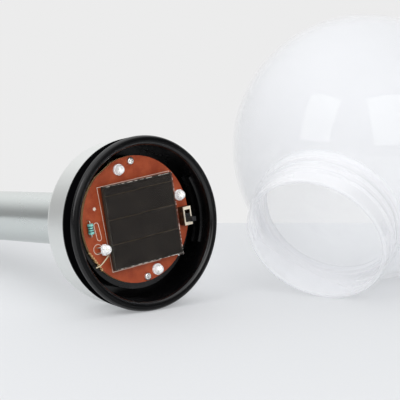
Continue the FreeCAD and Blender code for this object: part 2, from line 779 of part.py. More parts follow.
def lead_holes(board):
    """Cylinders for every hole in the board."""
    holes = []
    for _, place, direction in LEDS:
        holes += [(point, "lead_hole_radius") for point in led_leads(place, direction)]
    holes += [(point, "lead_hole_radius") for point in inductor_holes()]
    holes += [(point, "pin_hole_radius") for point in switch_pins()]
    holes += [(point, "pin_hole_radius") for point in PANEL_LEADS]
    holes += [(point, "screw_radius + screw_hole_gap") for point in screw_places()]
    return [
        through_hole(f"hole_{index}", board, x, y, radius)
        for index, ((x, y), radius) in enumerate(holes)
    ]


def make_board_screws(board):
    """Two pan-head screws with cross recesses."""
    screws = []
    for index, (x, y) in enumerate(screw_places()):
        name = f"screw_{index}"
        foot = -size("screw_length")
        shank = upright(name + "_shank", board, x, y, foot, "screw_radius", "screw_length + fit_gap")
        head = upright(name + "_head", board, x, y, size("rest_gap"), "screw_head_radius",
                       "screw_head_height")
        rounded = document.addObject("Part::Fillet", name + "_rounded")
        rounded.Base = head
        document.recompute()
        top = max(range(len(head.Shape.Edges)), key=lambda i: edge_height(head, i, board))
        rounding = size("screw_head_height") * HEAD_ROUNDING
        rounded.Edges = [(top + 1, rounding, rounding)]
        whole = document.addObject("Part::Fuse", name + "_whole")
        whole.Base = rounded
        whole.Tool = shank
        frame = board.multiply(turned(x, y, size("screw_head_height - recess_depth"),
                                      angle=RECESS_TURNS[index]))
        arms = [
            centred_box(f"{name}_arm_{arm}", frame, "0", "0", "0", width, length, "screw_head_height")
            for arm, (width, length) in enumerate(
                (("recess_width", "recess_length"), ("recess_length", "recess_width"))
            )
        ]
        screws.append(cut(name, whole, arms))
    keep(group("board_screws", screws), "board_screws")


def edge_height(item, index, board):
    middle = item.Shape.Edges[index].CenterOfMass
    return board.inverse().multVec(middle).z


def make_panel(board):
    """Foam pad, backing, four cells, clear resin and the two solder leads."""
    middle = board.multiply(turned(size("panel_across"), -size("panel_drop"), 0))
    foam = centred_box("foam", middle, "0", "0", "rest_gap", "foam_side", "foam_side",
                       "foam_height - 2 * rest_gap")
    passages = [
        through_hole(f"foam_hole_{index}", board, x, y, "pin_hole_radius")
        for index, (x, y) in enumerate(PANEL_LEADS)
    ]
    keep(cut("foam", foam, passages), "panel_foam_pad")
    backing = centred_box(
        "backing", middle, "0", "0", "foam_height", "panel_side", "panel_side", "backing_height"
    )
    keep(backing, "panel_backing")
    keep(group("solar_cells", cell_strips(middle)), "solar_cells")
    resin = centred_box(
        "resin", middle, "0", "0", "foam_height + backing_height + rest_gap / 2",
        "panel_side", "panel_side", "resin_height",
    )
    keep(cut("resin", resin, cell_strips(middle, size("rest_gap / 2"))), "panel_resin")
    leads = [
        upright(f"panel_lead_{index}", board, x, y, -size("board_thickness") - LEAD_BELOW,
                "pin_radius", f"board_thickness + {LEAD_BELOW} + foam_height - rest_gap")
        for index, (x, y) in enumerate(PANEL_LEADS)
    ]
    keep(group("panel_leads", leads), "panel_leads")


def cell_strips(middle, slack=0.0):
    """Four strips of solar cell, one above the other on the panel; slack widens each all round."""
    span = size("panel_side")
    margin = size("cell_margin")
    gap = size("cell_gap")
    low = size("foam_height + backing_height + rest_gap") - slack
    strips = []
    for index, (start, end) in enumerate(zip(CELL_STRIP_ENDS, CELL_STRIP_ENDS[1:])):
        top = span / 2 - (margin if index == 0 else start * span + gap / 2) + slack
        bottom = span / 2 - (span - margin if end == 1.0 else end * span - gap / 2) - slack
        wide = span - 2 * margin + 2 * slack
        tall = size("cell_height") + 2 * slack
        strip = solid(
            "Box", f"strip_{index}_{int(slack * 100)}", middle.multiply(turned(-wide / 2, bottom, low)),
            Length=f"panel_side - 2 * cell_margin + {2 * slack}", Width=str(top - bottom), Height=str(tall),
        )
        strips.append(strip)
    return strips


def led_frame(board, name, place):
    """Where a diode stands; one leans over towards the panel on its bent leads."""
    if name == LEANING_LED:
        return board.multiply(turned(place[0] + LEAN_SHIFT, place[1], LEAN_LIFT, (0, 1, 0), LEAN_ANGLE))
    return board.multiply(turned(place[0], place[1], size("seat_gap")))


def make_leds(board):
    """Four clear diodes, each a flange, a barrel and a dome around two leads."""
    for name, place, direction in LEDS:
        frame = led_frame(board, name, place)
        body = new_body("led_" + name, frame)
        primitive(body, "AdditiveCylinder", "flange", Radius="led_flange_radius",
                  Height="led_flange_height")
        primitive(body, "AdditiveCylinder", "barrel", Radius="led_radius", Height="led_dome_height")
        primitive(body, "AdditiveSphere", "dome", Radius="led_radius", Z="led_dome_height")
        trim = new_sketch(body, "foot_trim", "XY_Plane", "-led_flange_radius")
        circle(trim, "0", "0", "2 * led_radius")
        pocket(body, "flat_foot", trim, "led_flange_radius")
        bores = new_sketch(body, "lead_circles", "XY_Plane")
        for sign in ("-", ""):
            across = f"{sign}led_lead_half * {direction[0]}"
            along = f"{sign}led_lead_half * {direction[1]}"
            circle(bores, across, along, "led_lead_radius + lead_gap")
        pocket(body, "lead_bores", bores, f"{LEAD_TOP} + seat_gap")
        make_led_leads(board, frame, name, place, direction)


def make_led_leads(board, frame, name, place, direction):
    """Two leads from inside the diode to just below the board."""
    below = -size("board_thickness") - LEAD_BELOW
    shapes = []
    for sign, (x, y) in zip((-1, 1), led_leads(place, direction)):
        half = sign * size("led_lead_half")
        inside = FreeCAD.Vector(half * direction[0], half * direction[1], LEAD_TOP)
        foot = FreeCAD.Vector(inside.x, inside.y, -LEAN_BEND)
        to_board = board.inverse().multiply(frame)
        points = [to_board.multVec(inside), FreeCAD.Vector(x, y, below)]
        if name == LEANING_LED:
            points.insert(1, to_board.multVec(foot))
            points.insert(2, FreeCAD.Vector(x, y, LEAN_BEND))
        shapes.append(wire_shape([tuple(point) for point in points], size("led_lead_radius")))
    shape_node("led_leads_" + name, Part.makeCompound(shapes), board)


def make_inductor(board):
    """The small axial inductor and its two bent leads."""
    across = -size("inductor_across")
    rise = size("inductor_rise")
    height = size("inductor_height")
    lying = board.multiply(turned(across, rise, height, (1, 0, 0), 90))
    body = new_body("inductor_body", lying)
    end = "inductor_length / 2"
    lower = [(f"inductor_radius * {share}", f"-{end} + {step}") for step, share in BARREL_STEPS]
    upper = [(f"inductor_radius * {share}", f"{end} - {step}") for step, share in reversed(BARREL_STEPS)]
    revolve(body, "barrel", [("0", "-" + end), *lower, *upper, ("0", end)])
    below = -size("board_thickness") - LEAD_BELOW
    shapes = []
    for x, y in inductor_holes():
        face = rise + math.copysign(size(end + " + rest_gap"), y - rise)
        points = [(x, y, below), (x, y, height), (x, face, height)]
        shapes.append(wire_shape(points, size("inductor_lead_radius")))
    shape_node("inductor_leads", Part.makeCompound(shapes), board)


def make_switch(board):
    """The slide switch: base plate, folded metal frame, three pins and the sliding knob."""
    middle = board.multiply(turned(size("switch_across"), -size("switch_drop"), 0))
    base = centred_box("switch_base_box", middle, "0", "0", "rest_gap",
                       "switch_width - 2 * switch_base_inset", "switch_length - 2 * switch_base_inset",
                       "switch_base_height - 2 * rest_gap")
    keep(base, "switch_base")
    shell = centred_box("frame_outside", middle, "0", "0", "switch_base_height", "switch_width",
                        "switch_length", "switch_height - switch_base_height")
    room = centred_box("frame_inside", middle, "0", "0", "0", "switch_width - 2 * switch_sheet",
                       "switch_length - 2 * switch_sheet", "switch_height - switch_sheet")
    window = centred_box("frame_window", middle, "0", "0", "0", "window_width", "window_length",
                         "2 * switch_height")
    keep(cut("switch_frame", shell, [room, window]), "switch_frame")
    pins = [
        upright(f"pin_{index}", board, x, y, -size("board_thickness") - LEAD_BELOW, "pin_radius",
                f"board_thickness + {LEAD_BELOW}")
        for index, (x, y) in enumerate(switch_pins())
    ]
    keep(group("switch_pins", pins), "switch_pins")
    make_knob(middle)


def make_knob(middle):
    """A slider under the frame's window with the tall knob on it."""
    body = new_body("switch_knob", middle.multiply(turned(y=-size("knob_offset"))))
    slider_top = "switch_height - switch_sheet - slider_gap"
    slider_foot = slider_top + " - slider_height"
    sketch = new_sketch(body, "slider_outline", "XY_Plane", slider_foot)
    rectangle(sketch, "switch_width - 2 * switch_sheet - 2 * slider_gap", "slider_length")
    pad(body, "slider", sketch, "slider_height")
    sketch = new_sketch(body, "knob_outline", "XY_Plane", slider_foot)
    rectangle(sketch, "knob_width", "knob_length")
    pad(body, "knob", sketch, f"knob_top - ({slider_foot})")
    document.recompute()
    base = body.Tip
    top = base.Shape.BoundBox.ZMax
    top_edges = [
        f"Edge{index}"
        for index, edge in enumerate(base.Shape.Edges, start=1)
        if math.isclose(edge.CenterOfMass.z, top, abs_tol=1e-4)
    ]
    feature = body.newObject("PartDesign::Fillet", "soft_top")
    feature.Base = (base, top_edges)
    feature.setExpression("Radius", bound("knob_round"))


def rectangle(sketch, width, length):
    """A rectangle about the sketch's origin."""
    polygon(sketch, (
        (f"-({width}) / 2", f"-({length}) / 2"),
        (f"({width}) / 2", f"-({length}) / 2"),
        (f"({width}) / 2", f"({length}) / 2"),
        (f"-({width}) / 2", f"({length}) / 2"),
    ))


def make_jumper(board):
    """The thin light wire that runs out over the board's snapped edge."""
    shape_node("jumper_wire", wire_shape(JUMPER_ROUTE, JUMPER_RADIUS), board)


def make_driver(board):
    """The four-legged driver chip lying under the board."""
    left = -size("chip_across")
    bottom = -size("chip_drop")
    under = -size("board_thickness + fit_gap")
    chip = board.multiply(turned(left, bottom, under - size("chip_height")))
    keep(solid("Box", "chip", chip, Length="chip_length", Width="chip_width", Height="chip_height"),
         "driver_chip")
    margin = size("(chip_length - 3 * leg_pitch - leg_width) / 2")
    legs = []
    for index in range(4):
        x = left + margin + index * size("leg_pitch")
        y = bottom - size("leg_length + seat_gap")
        place = board.multiply(turned(x, y, under - size("(chip_height + leg_sheet) / 2")))
        legs.append(solid("Box", f"leg_{index}", place, Length="leg_width", Width="leg_length",
                          Height="leg_sheet"))
    keep(group("driver_legs", legs), "driver_legs")


# ------------------------------------------------------------------ the battery


def make_battery(head):
    """A rechargeable cell lying in its cradles, its sleeve, contacts and wires."""
    floor = size("-cup_depth + cup_wall + fit_gap + moulding_wall")
    height = floor + size("cell_lift + cell_radius")
    half = size("cell_length / 2")
    lying = head.multiply(turned(-half, 0, height, (0, 1, 0), 90))
    body = new_body("battery_can", lying)
    primitive(body, "AdditiveCylinder", "can", Radius="cell_radius - cell_sleeve - sleeve_gap",
              Height="cell_length - cell_nub_length")
    primitive(body, "AdditiveCylinder", "nub", Radius="cell_nub_radius", Height="cell_length")
    outer = solid("Cylinder", "sleeve_outside", lying.multiply(turned(z=size("sleeve_inset"))),
                  Radius="cell_radius", Height="cell_length - cell_nub_length - 2 * sleeve_inset")
    inner = solid("Cylinder", "sleeve_inside", lying, Radius="cell_radius - cell_sleeve",
                  Height="cell_length")
    keep(cut("sleeve", outer, [inner]), "battery_sleeve")
    make_contacts(head, floor, height, half)


def make_contacts(head, floor, height, half):
    """The positive plate, the negative plate with its coiled spring, and the two wires."""
    gap = size("seat_gap")
    half_sheet = size("contact_sheet / 2")
    plus = half + gap + half_sheet
    back = -half - size("spring_space") - gap
    minus = back - half_sheet
    for middle, name in ((plus, "battery_contact_positive"), (minus, "battery_contact_negative")):
        plate = centred_box(name + "_plate", head, str(middle), "0", str(floor + gap),
                            "contact_sheet", "contact_width", "contact_height")
        keep(plate, name)
    shape_node("battery_spring", spring_shape(size("spring_space")),
               head.multiply(turned(back + size("rest_gap"), 0, height, (0, 1, 0), 90)))
    radius = size("wire_radius")
    red = [(plus, size("contact_width / 2") + gap, WIRE_LEVEL), (plus, RED_TURN, WIRE_LEVEL),
           *RED_ROUTE_END]
    shape_node("battery_wire_red", wire_shape(red, radius), head)
    black = [(minus, size("contact_width / 2") + 6 * gap, WIRE_LEVEL), *BLACK_ROUTE_END]
    shape_node("battery_wire_black", wire_shape(black, radius), head)


def spring_shape(length):
    """A conical compression spring that stands on its plate."""
    wire = size("spring_wire_radius")
    gap = size("rest_gap")
    rise = length - 2 * wire - 3 * gap
    path = Part.makeHelix(rise / SPRING_TURNS, rise, size("spring_radius"), SPRING_TAPER)
    path.translate(FreeCAD.Vector(0, 0, wire + gap))
    start = path.Edges[0].valueAt(path.Edges[0].FirstParameter)
    heading = path.Edges[0].tangentAt(path.Edges[0].FirstParameter)
    profile = Part.Wire([Part.Circle(start, heading, wire).toShape()])
    return Part.Wire(path.Edges).makePipeShell([profile], True, True)


# ------------------------------------------------------------------ the globe


def make_globe(globe):
    """The clear globe: a hollow sphere with an open neck and a screw thread."""
    body = new_body("globe_shell", globe)
    primitive(body, "AdditiveSphere", "outside", Radius="globe_radius")
    primitive(body, "AdditiveCylinder", "neck", Radius="neck_radius", Height="neck_end")
    primitive(body, "SubtractiveSphere", "inside", Radius="globe_radius - globe_wall")
    primitive(body, "SubtractiveCylinder", "mouth", Radius="neck_bore", Height="neck_end + 1")
    root = "sqrt(globe_radius * globe_radius - neck_radius * neck_radius)"
    round_circles(body, "root_fillet", "neck_fillet", (("neck_radius", root),))
    round_circles(body, "lip", "lip_round", (("neck_radius", "neck_end"), ("neck_bore", "neck_end")))
    sketch = new_sketch(body, "ridge_outline", "XZ_Plane")
    low = "thread_start - thread_pitch * thread_turns"
    polygon(sketch, (
        ("neck_radius - thread_sink", f"{low} - thread_width / 2"),
        ("neck_radius + thread_reach", f"{low} - thread_width * {THREAD_CREST}"),
        ("neck_radius + thread_reach", f"{low} + thread_width * {THREAD_CREST}"),
        ("neck_radius - thread_sink", f"{low} + thread_width / 2"),
    ))
    thread = body.newObject("PartDesign::AdditiveHelix", "thread")
    thread.Profile = sketch
    thread.ReferenceAxis = (sketch, ["V_Axis"])
    thread.Mode = "pitch-turns-angle"
    thread.setExpression("Pitch", bound("thread_pitch"))
    thread.setExpression("Turns", bound("thread_turns"))


def make_seal(globe):
    """The soft ring at the root of the neck, which the collar's rim presses on."""
    body = new_body("neck_seal", globe)
    far = "seal_place + seal_width"
    revolve(body, "ring", (
        ("neck_radius + seal_gap", "seal_place"),
        ("neck_radius + seal_reach", "seal_place"),
        ("neck_radius + seal_reach", far),
        ("neck_radius + seal_gap", far),
    ))
    round_circles(body, "soft_edges", "seal_round", (
        ("neck_radius + seal_reach", "seal_place"),
        ("neck_radius + seal_reach", far),
    ))


# ------------------------------------------------------------------ checks and files


def check_and_export():
    """Stops on any failed object, then writes one STEP file for each node."""
    document.recompute()
    failed = [
        item.Name for item in document.Objects if "Invalid" in item.State or "Error" in item.State
    ]
    if failed:
        raise RuntimeError("failed objects: " + ", ".join(failed))
    os.makedirs("parts", exist_ok=True)
    for item in node_objects:
        if item.Shape.isNull() or not item.Shape.isValid() or item.Shape.Volume <= 0:
            raise RuntimeError("bad shape: " + item.Label)
    for item in node_objects:
        item.Shape.exportStep(os.path.join("parts", item.Label + ".step"))
        print(f"{item.Label:26s} {len(item.Shape.Solids):2d} solids {item.Shape.Volume:12.2f} mm3")


fill_sheet()
head_place = head_frame()
board_place = head_place.multiply(turned(0, size("board_rise"), -size("board_depth")))
globe_place = globe_frame()
print(f"head tilt {math.degrees(head_tilt()):.3f}, globe tilt {math.degrees(globe_tilt()):.3f}")
print("rim middle", rim_middle())
make_cup(head_place)
make_collar(head_place)
make_stem(head_place)
make_spike(head_place)
make_board(board_place)
make_board_screws(board_place)
make_panel(board_place)
make_leds(board_place)
make_inductor(board_place)
make_switch(board_place)
make_jumper(board_place)
make_driver(board_place)
make_battery(head_place)
make_globe(globe_place)
make_seal(globe_place)
check_and_export()
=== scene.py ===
import json
import math

import bmesh
import bpy
from mathutils import Matrix, Vector


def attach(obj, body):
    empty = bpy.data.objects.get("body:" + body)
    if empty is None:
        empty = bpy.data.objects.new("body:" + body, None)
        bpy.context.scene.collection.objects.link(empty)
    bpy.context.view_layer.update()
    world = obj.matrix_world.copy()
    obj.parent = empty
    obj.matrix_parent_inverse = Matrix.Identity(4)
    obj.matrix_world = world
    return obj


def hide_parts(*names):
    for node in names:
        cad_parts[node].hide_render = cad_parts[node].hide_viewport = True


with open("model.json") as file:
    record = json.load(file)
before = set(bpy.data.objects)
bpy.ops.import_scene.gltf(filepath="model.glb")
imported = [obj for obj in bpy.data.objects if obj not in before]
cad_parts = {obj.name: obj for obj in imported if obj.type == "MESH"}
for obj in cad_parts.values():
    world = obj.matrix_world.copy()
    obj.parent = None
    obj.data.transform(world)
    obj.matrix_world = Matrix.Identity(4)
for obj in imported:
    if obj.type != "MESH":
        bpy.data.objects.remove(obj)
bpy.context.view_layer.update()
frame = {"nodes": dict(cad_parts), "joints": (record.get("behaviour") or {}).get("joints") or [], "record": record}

# Looks for the solar garden light: materials on the CAD nodes, the fine pieces that CAD leaves out,
# and a plain studio. Lengths are in metres in the row frame, and sizes given in millimetres use MM.
MM = 0.001
MOUNTS = {mount["name"]: mount for mount in frame["record"]["mounts"]}
JOINTS = {joint["name"]: joint for joint in frame["joints"]}
NODES = frame["nodes"]

# The rim's face stands this far in front of the rim's middle.
RIM_FRONT = 2.24 * MM
# The board's face lies this far behind the rim's middle, and its middle this far above the head's axis.
BOARD_DEPTH = 7.29 * MM
BOARD_RISE = 1.8 * MM


def frame_of(origin, up, out):
    """A local frame: Z along out, Y as near up as it can be, X to the side."""
    side = up.cross(out).normalized()
    up = out.cross(side)
    columns = Matrix((side, up, out)).transposed()
    return Matrix.Translation(origin) @ columns.to_4x4()


HEAD_OUT = Vector(MOUNTS["collar_thread"]["axis"]).normalized()
HEAD_UP = Vector(JOINTS["switch_slide"]["axis"]).normalized()
RIM_MIDDLE = Vector(MOUNTS["collar_thread"]["pos_m"]) - HEAD_OUT * RIM_FRONT
HEAD = frame_of(RIM_MIDDLE, HEAD_UP, HEAD_OUT)
BOARD = HEAD @ Matrix.Translation((0, BOARD_RISE, -BOARD_DEPTH))
GLOBE_MIDDLE = Vector(JOINTS["globe_turn"]["pos_m"])
NECK_OUT = Vector(MOUNTS["neck_inside"]["axis"]).normalized()
GLOBE = frame_of(GLOBE_MIDDLE, Vector((0, 0, 1)), NECK_OUT)


# ---------------------------------------------------------------- node helpers

def srgb(red, green, blue):
    """A colour given as 0 to 255 display values, as the linear values a shader takes."""
    linear = []
    for value in (red, green, blue):
        share = value / 255
        linear.append(share / 12.92 if share <= 0.04045 else ((share + 0.055) / 1.055) ** 2.4)
    return (*linear, 1.0)


def add(tree, kind, inputs=None, **settings):
    """A new shader node. Each input is a value, or the socket that it is linked to."""
    made = tree.nodes.new("ShaderNode" + kind)
    for name, value in settings.items():
        setattr(made, name, value)
    for place, value in (inputs or {}).items():
        if isinstance(value, bpy.types.NodeSocket):
            tree.links.new(value, made.inputs[place])
        else:
            made.inputs[place].default_value = value
    return made


def new_material(name, values):
    """A material with these values on its Principled shader, and its node tree."""
    material = bpy.data.materials.new(name)
    material.use_nodes = True
    shader = material.node_tree.nodes["Principled BSDF"]
    for socket, value in values.items():
        shader.inputs[socket].default_value = value
    return material, material.node_tree, shader


def placed(tree, matrix=None, stretch=(1, 1, 1)):
    """Coordinates in metres, in the row frame or in the local frame given, stretched per axis."""
    place = add(tree, "TexCoord").outputs["Object"]
    if matrix is not None:
        inverse = matrix.inverted()
        turn = inverse.to_euler()
        place = add(tree, "Mapping", {"Vector": place, "Location": inverse.to_translation(),
                                      "Rotation": turn}).outputs[0]
    if tuple(stretch) != (1, 1, 1):
        place = add(tree, "Mapping", {"Vector": place, "Scale": stretch}).outputs[0]
    return place


def part_of(tree, place, axis):
    """One coordinate, X, Y or Z, of a place."""
    return add(tree, "SeparateXYZ", {"Vector": place}).outputs[axis]


def noise(tree, grain, place=None, detail=3.0, roughness=0.5):
    """Noise from 0 to 1 whose lumps are about grain metres across."""
    place = place or placed(tree)
    return add(tree, "TexNoise", {"Vector": place, "Scale": 1 / grain, "Detail": detail,
                                  "Roughness": roughness}).outputs["Fac"]


def ramp(tree, factor, low, high, first=0.0, second=1.0):
    """Maps low..high of a factor to first..second, smoothly, and holds it outside."""
    return add(tree, "MapRange", {"Value": factor, "From Min": low, "From Max": high,
                                  "To Min": first, "To Max": second},
               interpolation_type="SMOOTHSTEP").outputs[0]


def span_ramp(tree, place, span, first=0.0, second=1.0):
    """A ramp whose span is given in millimetres."""
    return ramp(tree, place, span[0] * MM, span[1] * MM, first, second)


# Noise keeps mostly between these two values.
NOISE_LOW = 0.3
NOISE_HIGH = 0.7


def spread(tree, cloud, first=0.0, second=1.0):
    """Noise spread over first..second."""
    return ramp(tree, cloud, NOISE_LOW, NOISE_HIGH, first, second)


def calculate(tree, operation, *values):
    """One step of arithmetic on numbers and sockets."""
    return add(tree, "Math", dict(enumerate(values)), operation=operation).outputs[0]


def away_from(tree, place, middle):
    """How far a coordinate is from a middle given in millimetres, on either side."""
    return calculate(tree, "ABSOLUTE", calculate(tree, "SUBTRACT", place, middle * MM))


def facing(tree, direction, towards):
    """The cosine of the angle between a direction and a fixed one."""
    return add(tree, "VectorMath", {0: direction, 1: towards}, operation="DOT_PRODUCT").outputs["Value"]


def blend(tree, factor, first, second):
    """Two colours mixed by a factor."""
    made = add(tree, "Mix", {"Factor": factor}, data_type="RGBA")
    for place, value in ((6, first), (7, second)):
        if isinstance(value, bpy.types.NodeSocket):
            tree.links.new(value, made.inputs[place])
        else:
            made.inputs[place].default_value = value
    return made.outputs[2]


def bump(tree, height, depth, strength=1.0):
    """A normal from a height whose 0 to 1 is depth metres."""
    return add(tree, "Bump", {"Height": height, "Distance": depth, "Strength": strength}).outputs[0]


def feed(tree, shader, links):
    """Links values to the shader's sockets by name."""
    for socket, value in links.items():
        tree.links.new(value, shader.inputs[socket])


# ---------------------------------------------------------------- materials

def brushed_silver(name, tint, along, gloss):
    """Polished metal with hair lines along one direction and a faint unevenness."""
    material, tree, shader = new_material(name, {"Metallic": 1.0, "Base Color": tint})
    fine = noise(tree, 0.35 * MM, placed(tree, along, (1, 1, 0.02)), 2.0)
    cloud = noise(tree, 18 * MM, placed(tree, along, (1, 1, 0.4)))
    feed(tree, shader, {
        "Roughness": spread(tree, cloud, gloss, gloss + 0.08),
        "Normal": bump(tree, fine, 0.0006 * MM, 0.5),
    })
    return material


def moulded(name, colour, gloss, speckle=0.02, grain=0.12 * MM):
    """Moulded plastic: a faint uneven skin, slightly cloudy gloss and a few paler specks of dust."""
    material, tree, shader = new_material(name, {"IOR": 1.5})
    skin = noise(tree, grain, detail=2.0)
    cloud = noise(tree, 9 * MM, detail=4.0)
    dust = ramp(tree, noise(tree, 0.8 * MM, detail=6.0), 0.68, 0.76, 0.0, speckle)
    feed(tree, shader, {
        "Base Color": blend(tree, dust, colour, (0.6, 0.58, 0.55, 1.0)),
        "Roughness": spread(tree, cloud, gloss, gloss + 0.08),
        "Normal": bump(tree, skin, 0.004 * MM, 0.4),
    })
    return material


# Where the black moulding changes its finish, in millimetres: radii about the head's axis, and heights
# over the plane of the rim's middle.
CROWN_STARTS = (37.9, 38.7)
CROWN_ENDS = (40.4, 40.9)
BAND_STARTS = (39.0, 39.8)
BAND_FRONT = (-0.6, 0.4)
BAND_BACK = (-8.47, -7.97)
CROWN_MATT = 0.6
# The moulding has no gloss left where its matt share is this high.
FULLY_MATT = 0.97


def black_moulding():
    """Black styrene: satin inside and on the rim's roundings, duller on its crown, matt round its band."""
    material, tree, shader = new_material("black_moulding", {"IOR": 1.5})
    place = placed(tree, HEAD)
    height = part_of(tree, place, "Z")
    flat = add(tree, "CombineXYZ", {"X": part_of(tree, place, "X"), "Y": part_of(tree, place, "Y")})
    reach = add(tree, "VectorMath", {0: flat.outputs[0]}, operation="LENGTH").outputs["Value"]
    outside = span_ramp(tree, reach, BAND_STARTS)
    behind = span_ramp(tree, height, BAND_FRONT, 1.0, 0.0)
    before = span_ramp(tree, height, BAND_BACK)
    band = calculate(tree, "MULTIPLY", calculate(tree, "MULTIPLY", outside, behind), before)
    inner = span_ramp(tree, reach, CROWN_STARTS)
    outer = span_ramp(tree, reach, CROWN_ENDS, CROWN_MATT, 0.0)
    matt = calculate(tree, "MAXIMUM", band, calculate(tree, "MULTIPLY", inner, outer))
    grain = noise(tree, 0.15 * MM, place, 2.0)
    cloud = noise(tree, 9 * MM, place, 4.0)
    dust = ramp(tree, noise(tree, 0.8 * MM, place, 6.0), 0.69, 0.76, 0.0, 0.02)
    gloss = spread(tree, cloud, 0.2, 0.28)
    feed(tree, shader, {
        "Base Color": blend(tree, dust, srgb(5, 5, 6), srgb(150, 146, 140)),
        "Roughness": ramp(tree, matt, 0.0, 1.0, gloss, 0.45),
        "Specular IOR Level": ramp(tree, matt, 0.0, FULLY_MATT, 0.5, 0.0),
        "Normal": bump(tree, grain, 0.012 * MM, 0.6),
    })
    return material


# How deep the board's lacquer reaches down its cut edge, in millimetres over the face.
LACQUER_ENDS = (-0.10, -0.03)


def board_laminate():
    """Reddish brown lacquered phenolic paper, with cloudy blotches and a paler cut edge: raw paper, painted
    lighter still as painted light where the edge lies in shade.
    """
    material, tree, shader = new_material("board_laminate", {"IOR": 1.5, "Specular IOR Level": 0.35})
    place = placed(tree, BOARD)
    cloud = noise(tree, 6 * MM, place, 4.0, 0.6)
    fibre = noise(tree, 0.5 * MM, place, 3.0)
    body = blend(tree, spread(tree, cloud), srgb(148, 56, 28), srgb(174, 78, 42))
    body = blend(tree, ramp(tree, fibre, 0.35, 0.8, 0.0, 0.18), body, srgb(208, 118, 70))
    lacquer = span_ramp(tree, part_of(tree, place, "Z"), LACQUER_ENDS)
    # The cut edge's colour is the raw paper's, lightened further as painted light for an edge that sits in shade.
    body = blend(tree, lacquer, srgb(255, 214, 158), body)
    feed(tree, shader, {
        "Base Color": body,
        "Roughness": spread(tree, cloud, 0.38, 0.5),
        "Normal": bump(tree, fibre, 0.01 * MM, 0.3),
    })
    return material


def metal(name, colour, low, high, grain=0.3 * MM, depth=0.003 * MM):
    """Bare or plated metal with uneven gloss."""
    material, tree, shader = new_material(name, {"Metallic": 1.0, "Base Color": colour})
    cloud = noise(tree, 4 * grain, detail=4.0)
    feed(tree, shader, {
        "Roughness": spread(tree, cloud, low, high),
        "Normal": bump(tree, noise(tree, grain), depth, 0.5),
    })
    return material


# The switch frame's bright face fades into its sides, which are painted dark as shade, this far below its top, in
# millimetres.
SHADED_SIDE_FADE = (0.5, 0.25)


def switch_plate():
    """The switch's tinned frame: a bright cream face over sides painted dull brown as painted shade."""
    material, tree, shader = new_material("switch_metal", {"Metallic": 0.6})
    top = local_box("switch_frame", BOARD)[1].z
    height = part_of(tree, placed(tree, BOARD), "Z")
    face = span_ramp(tree, height, (top - SHADED_SIDE_FADE[0], top - SHADED_SIDE_FADE[1]))
    cloud = noise(tree, 1.5 * MM, detail=4.0)
    # The sides are painted dark brown as painted shade; the face keeps its bright cream.
    side = blend(tree, ramp(tree, cloud, 0.35, 0.65), srgb(44, 30, 20), srgb(96, 70, 46))
    feed(tree, shader, {
        "Base Color": blend(tree, face, side, srgb(255, 244, 222)),
        "Roughness": spread(tree, cloud, 0.4, 0.55),
    })
    return material


def foam():
    """Closed-cell foam: matt black with small cells."""
    material, tree, shader = new_material("foam_black", {"Roughness": 0.9})
    cell_size = 0.35 * MM
    cells = add(tree, "TexVoronoi", {"Vector": placed(tree), "Scale": 1 / cell_size}).outputs["Distance"]
    feed(tree, shader, {
        "Base Color": blend(tree, cells, srgb(14, 14, 15), srgb(48, 47, 46)),
        "Normal": bump(tree, cells, 0.08 * MM, 0.6),
    })
    return material


def silicon():
    """Solar cell under its resin: near black, a little brown, with fine grain and a soft gloss."""
    material, tree, shader = new_material("silicon", {"Roughness": 0.6, "Specular IOR Level": 0.1})
    place = placed(tree, BOARD)
    grain = noise(tree, 1.5 * MM, place, 5.0)
    feed(tree, shader, {
        "Base Color": blend(tree, spread(tree, grain), srgb(50, 46, 43), srgb(62, 57, 53)),
    })
    return material


def clear_cast(name, tint, roughness, ior=1.5):
    """Clear cast resin or plastic with slight waves in its surface."""
    material, tree, shader = new_material(name, {"Base Color": tint, "IOR": ior,
                                                 "Transmission Weight": 1.0})
    wave = noise(tree, 9 * MM, detail=0.0)
    feed(tree, shader, {
        "Roughness": spread(tree, noise(tree, 3 * MM), roughness, roughness + 0.02),
        "Normal": bump(tree, wave, 0.02 * MM, 0.2),
    })
    return material


def thin_resin():
    """The panel's cast resin: so clear and dark over the cells that only its faint gloss shows."""
    material, tree, shader = new_material("clear_resin", {"Alpha": 0.25, "Roughness": 0.5,
                                                          "Specular IOR Level": 0.2})
    cloud = noise(tree, 5 * MM, placed(tree, BOARD), 4.0)
    feed(tree, shader, {
        "Base Color": blend(tree, ramp(tree, cloud, 0.4, 0.7), srgb(30, 27, 25), srgb(54, 49, 44)),
    })
    return material


def thin_silicone():
    """The seal's clear silicone, so thin and pale that it hardly shows against the neck."""
    material, tree, shader = new_material("clear_silicone", {"Specular IOR Level": 0.15})
    cloud = noise(tree, 4 * MM, detail=3.0)
    feed(tree, shader, {
        "Base Color": blend(tree, cloud, (0.88, 0.89, 0.90, 1), (0.95, 0.955, 0.96, 1)),
        "Roughness": spread(tree, cloud, 0.35, 0.5),
        "Alpha": spread(tree, cloud, 0.10, 0.16),
    })
    return material


# The resin edge's painted highlight starts here, sideways over the board in millimetres; left of it the edge is
# painted dark.
LIP_HIGHLIGHT_START = (-19, -17)


def resin_lip_highlight():
    """The resin's rounded edge, painted light grey as a highlight, broken up, and painted dark towards the left.
    """
    material, tree, shader = new_material("resin_lip_highlight", {"Roughness": 0.15, "IOR": 1.5, "Alpha": 0.75})
    # Painted highlight on the resin's edge, broken up by noise and cut off on the left.
    broken_highlight = ramp(tree, noise(tree, 1.4 * MM, placed(tree, BOARD), 3.0), 0.42, 0.6)
    across = part_of(tree, placed(tree, BOARD), "X")
    broken_highlight = calculate(tree, "MULTIPLY", broken_highlight, span_ramp(tree, across, LIP_HIGHLIGHT_START))
    feed(tree, shader, {"Base Color": blend(tree, broken_highlight, srgb(62, 58, 53), srgb(214, 208, 198))})
    return material


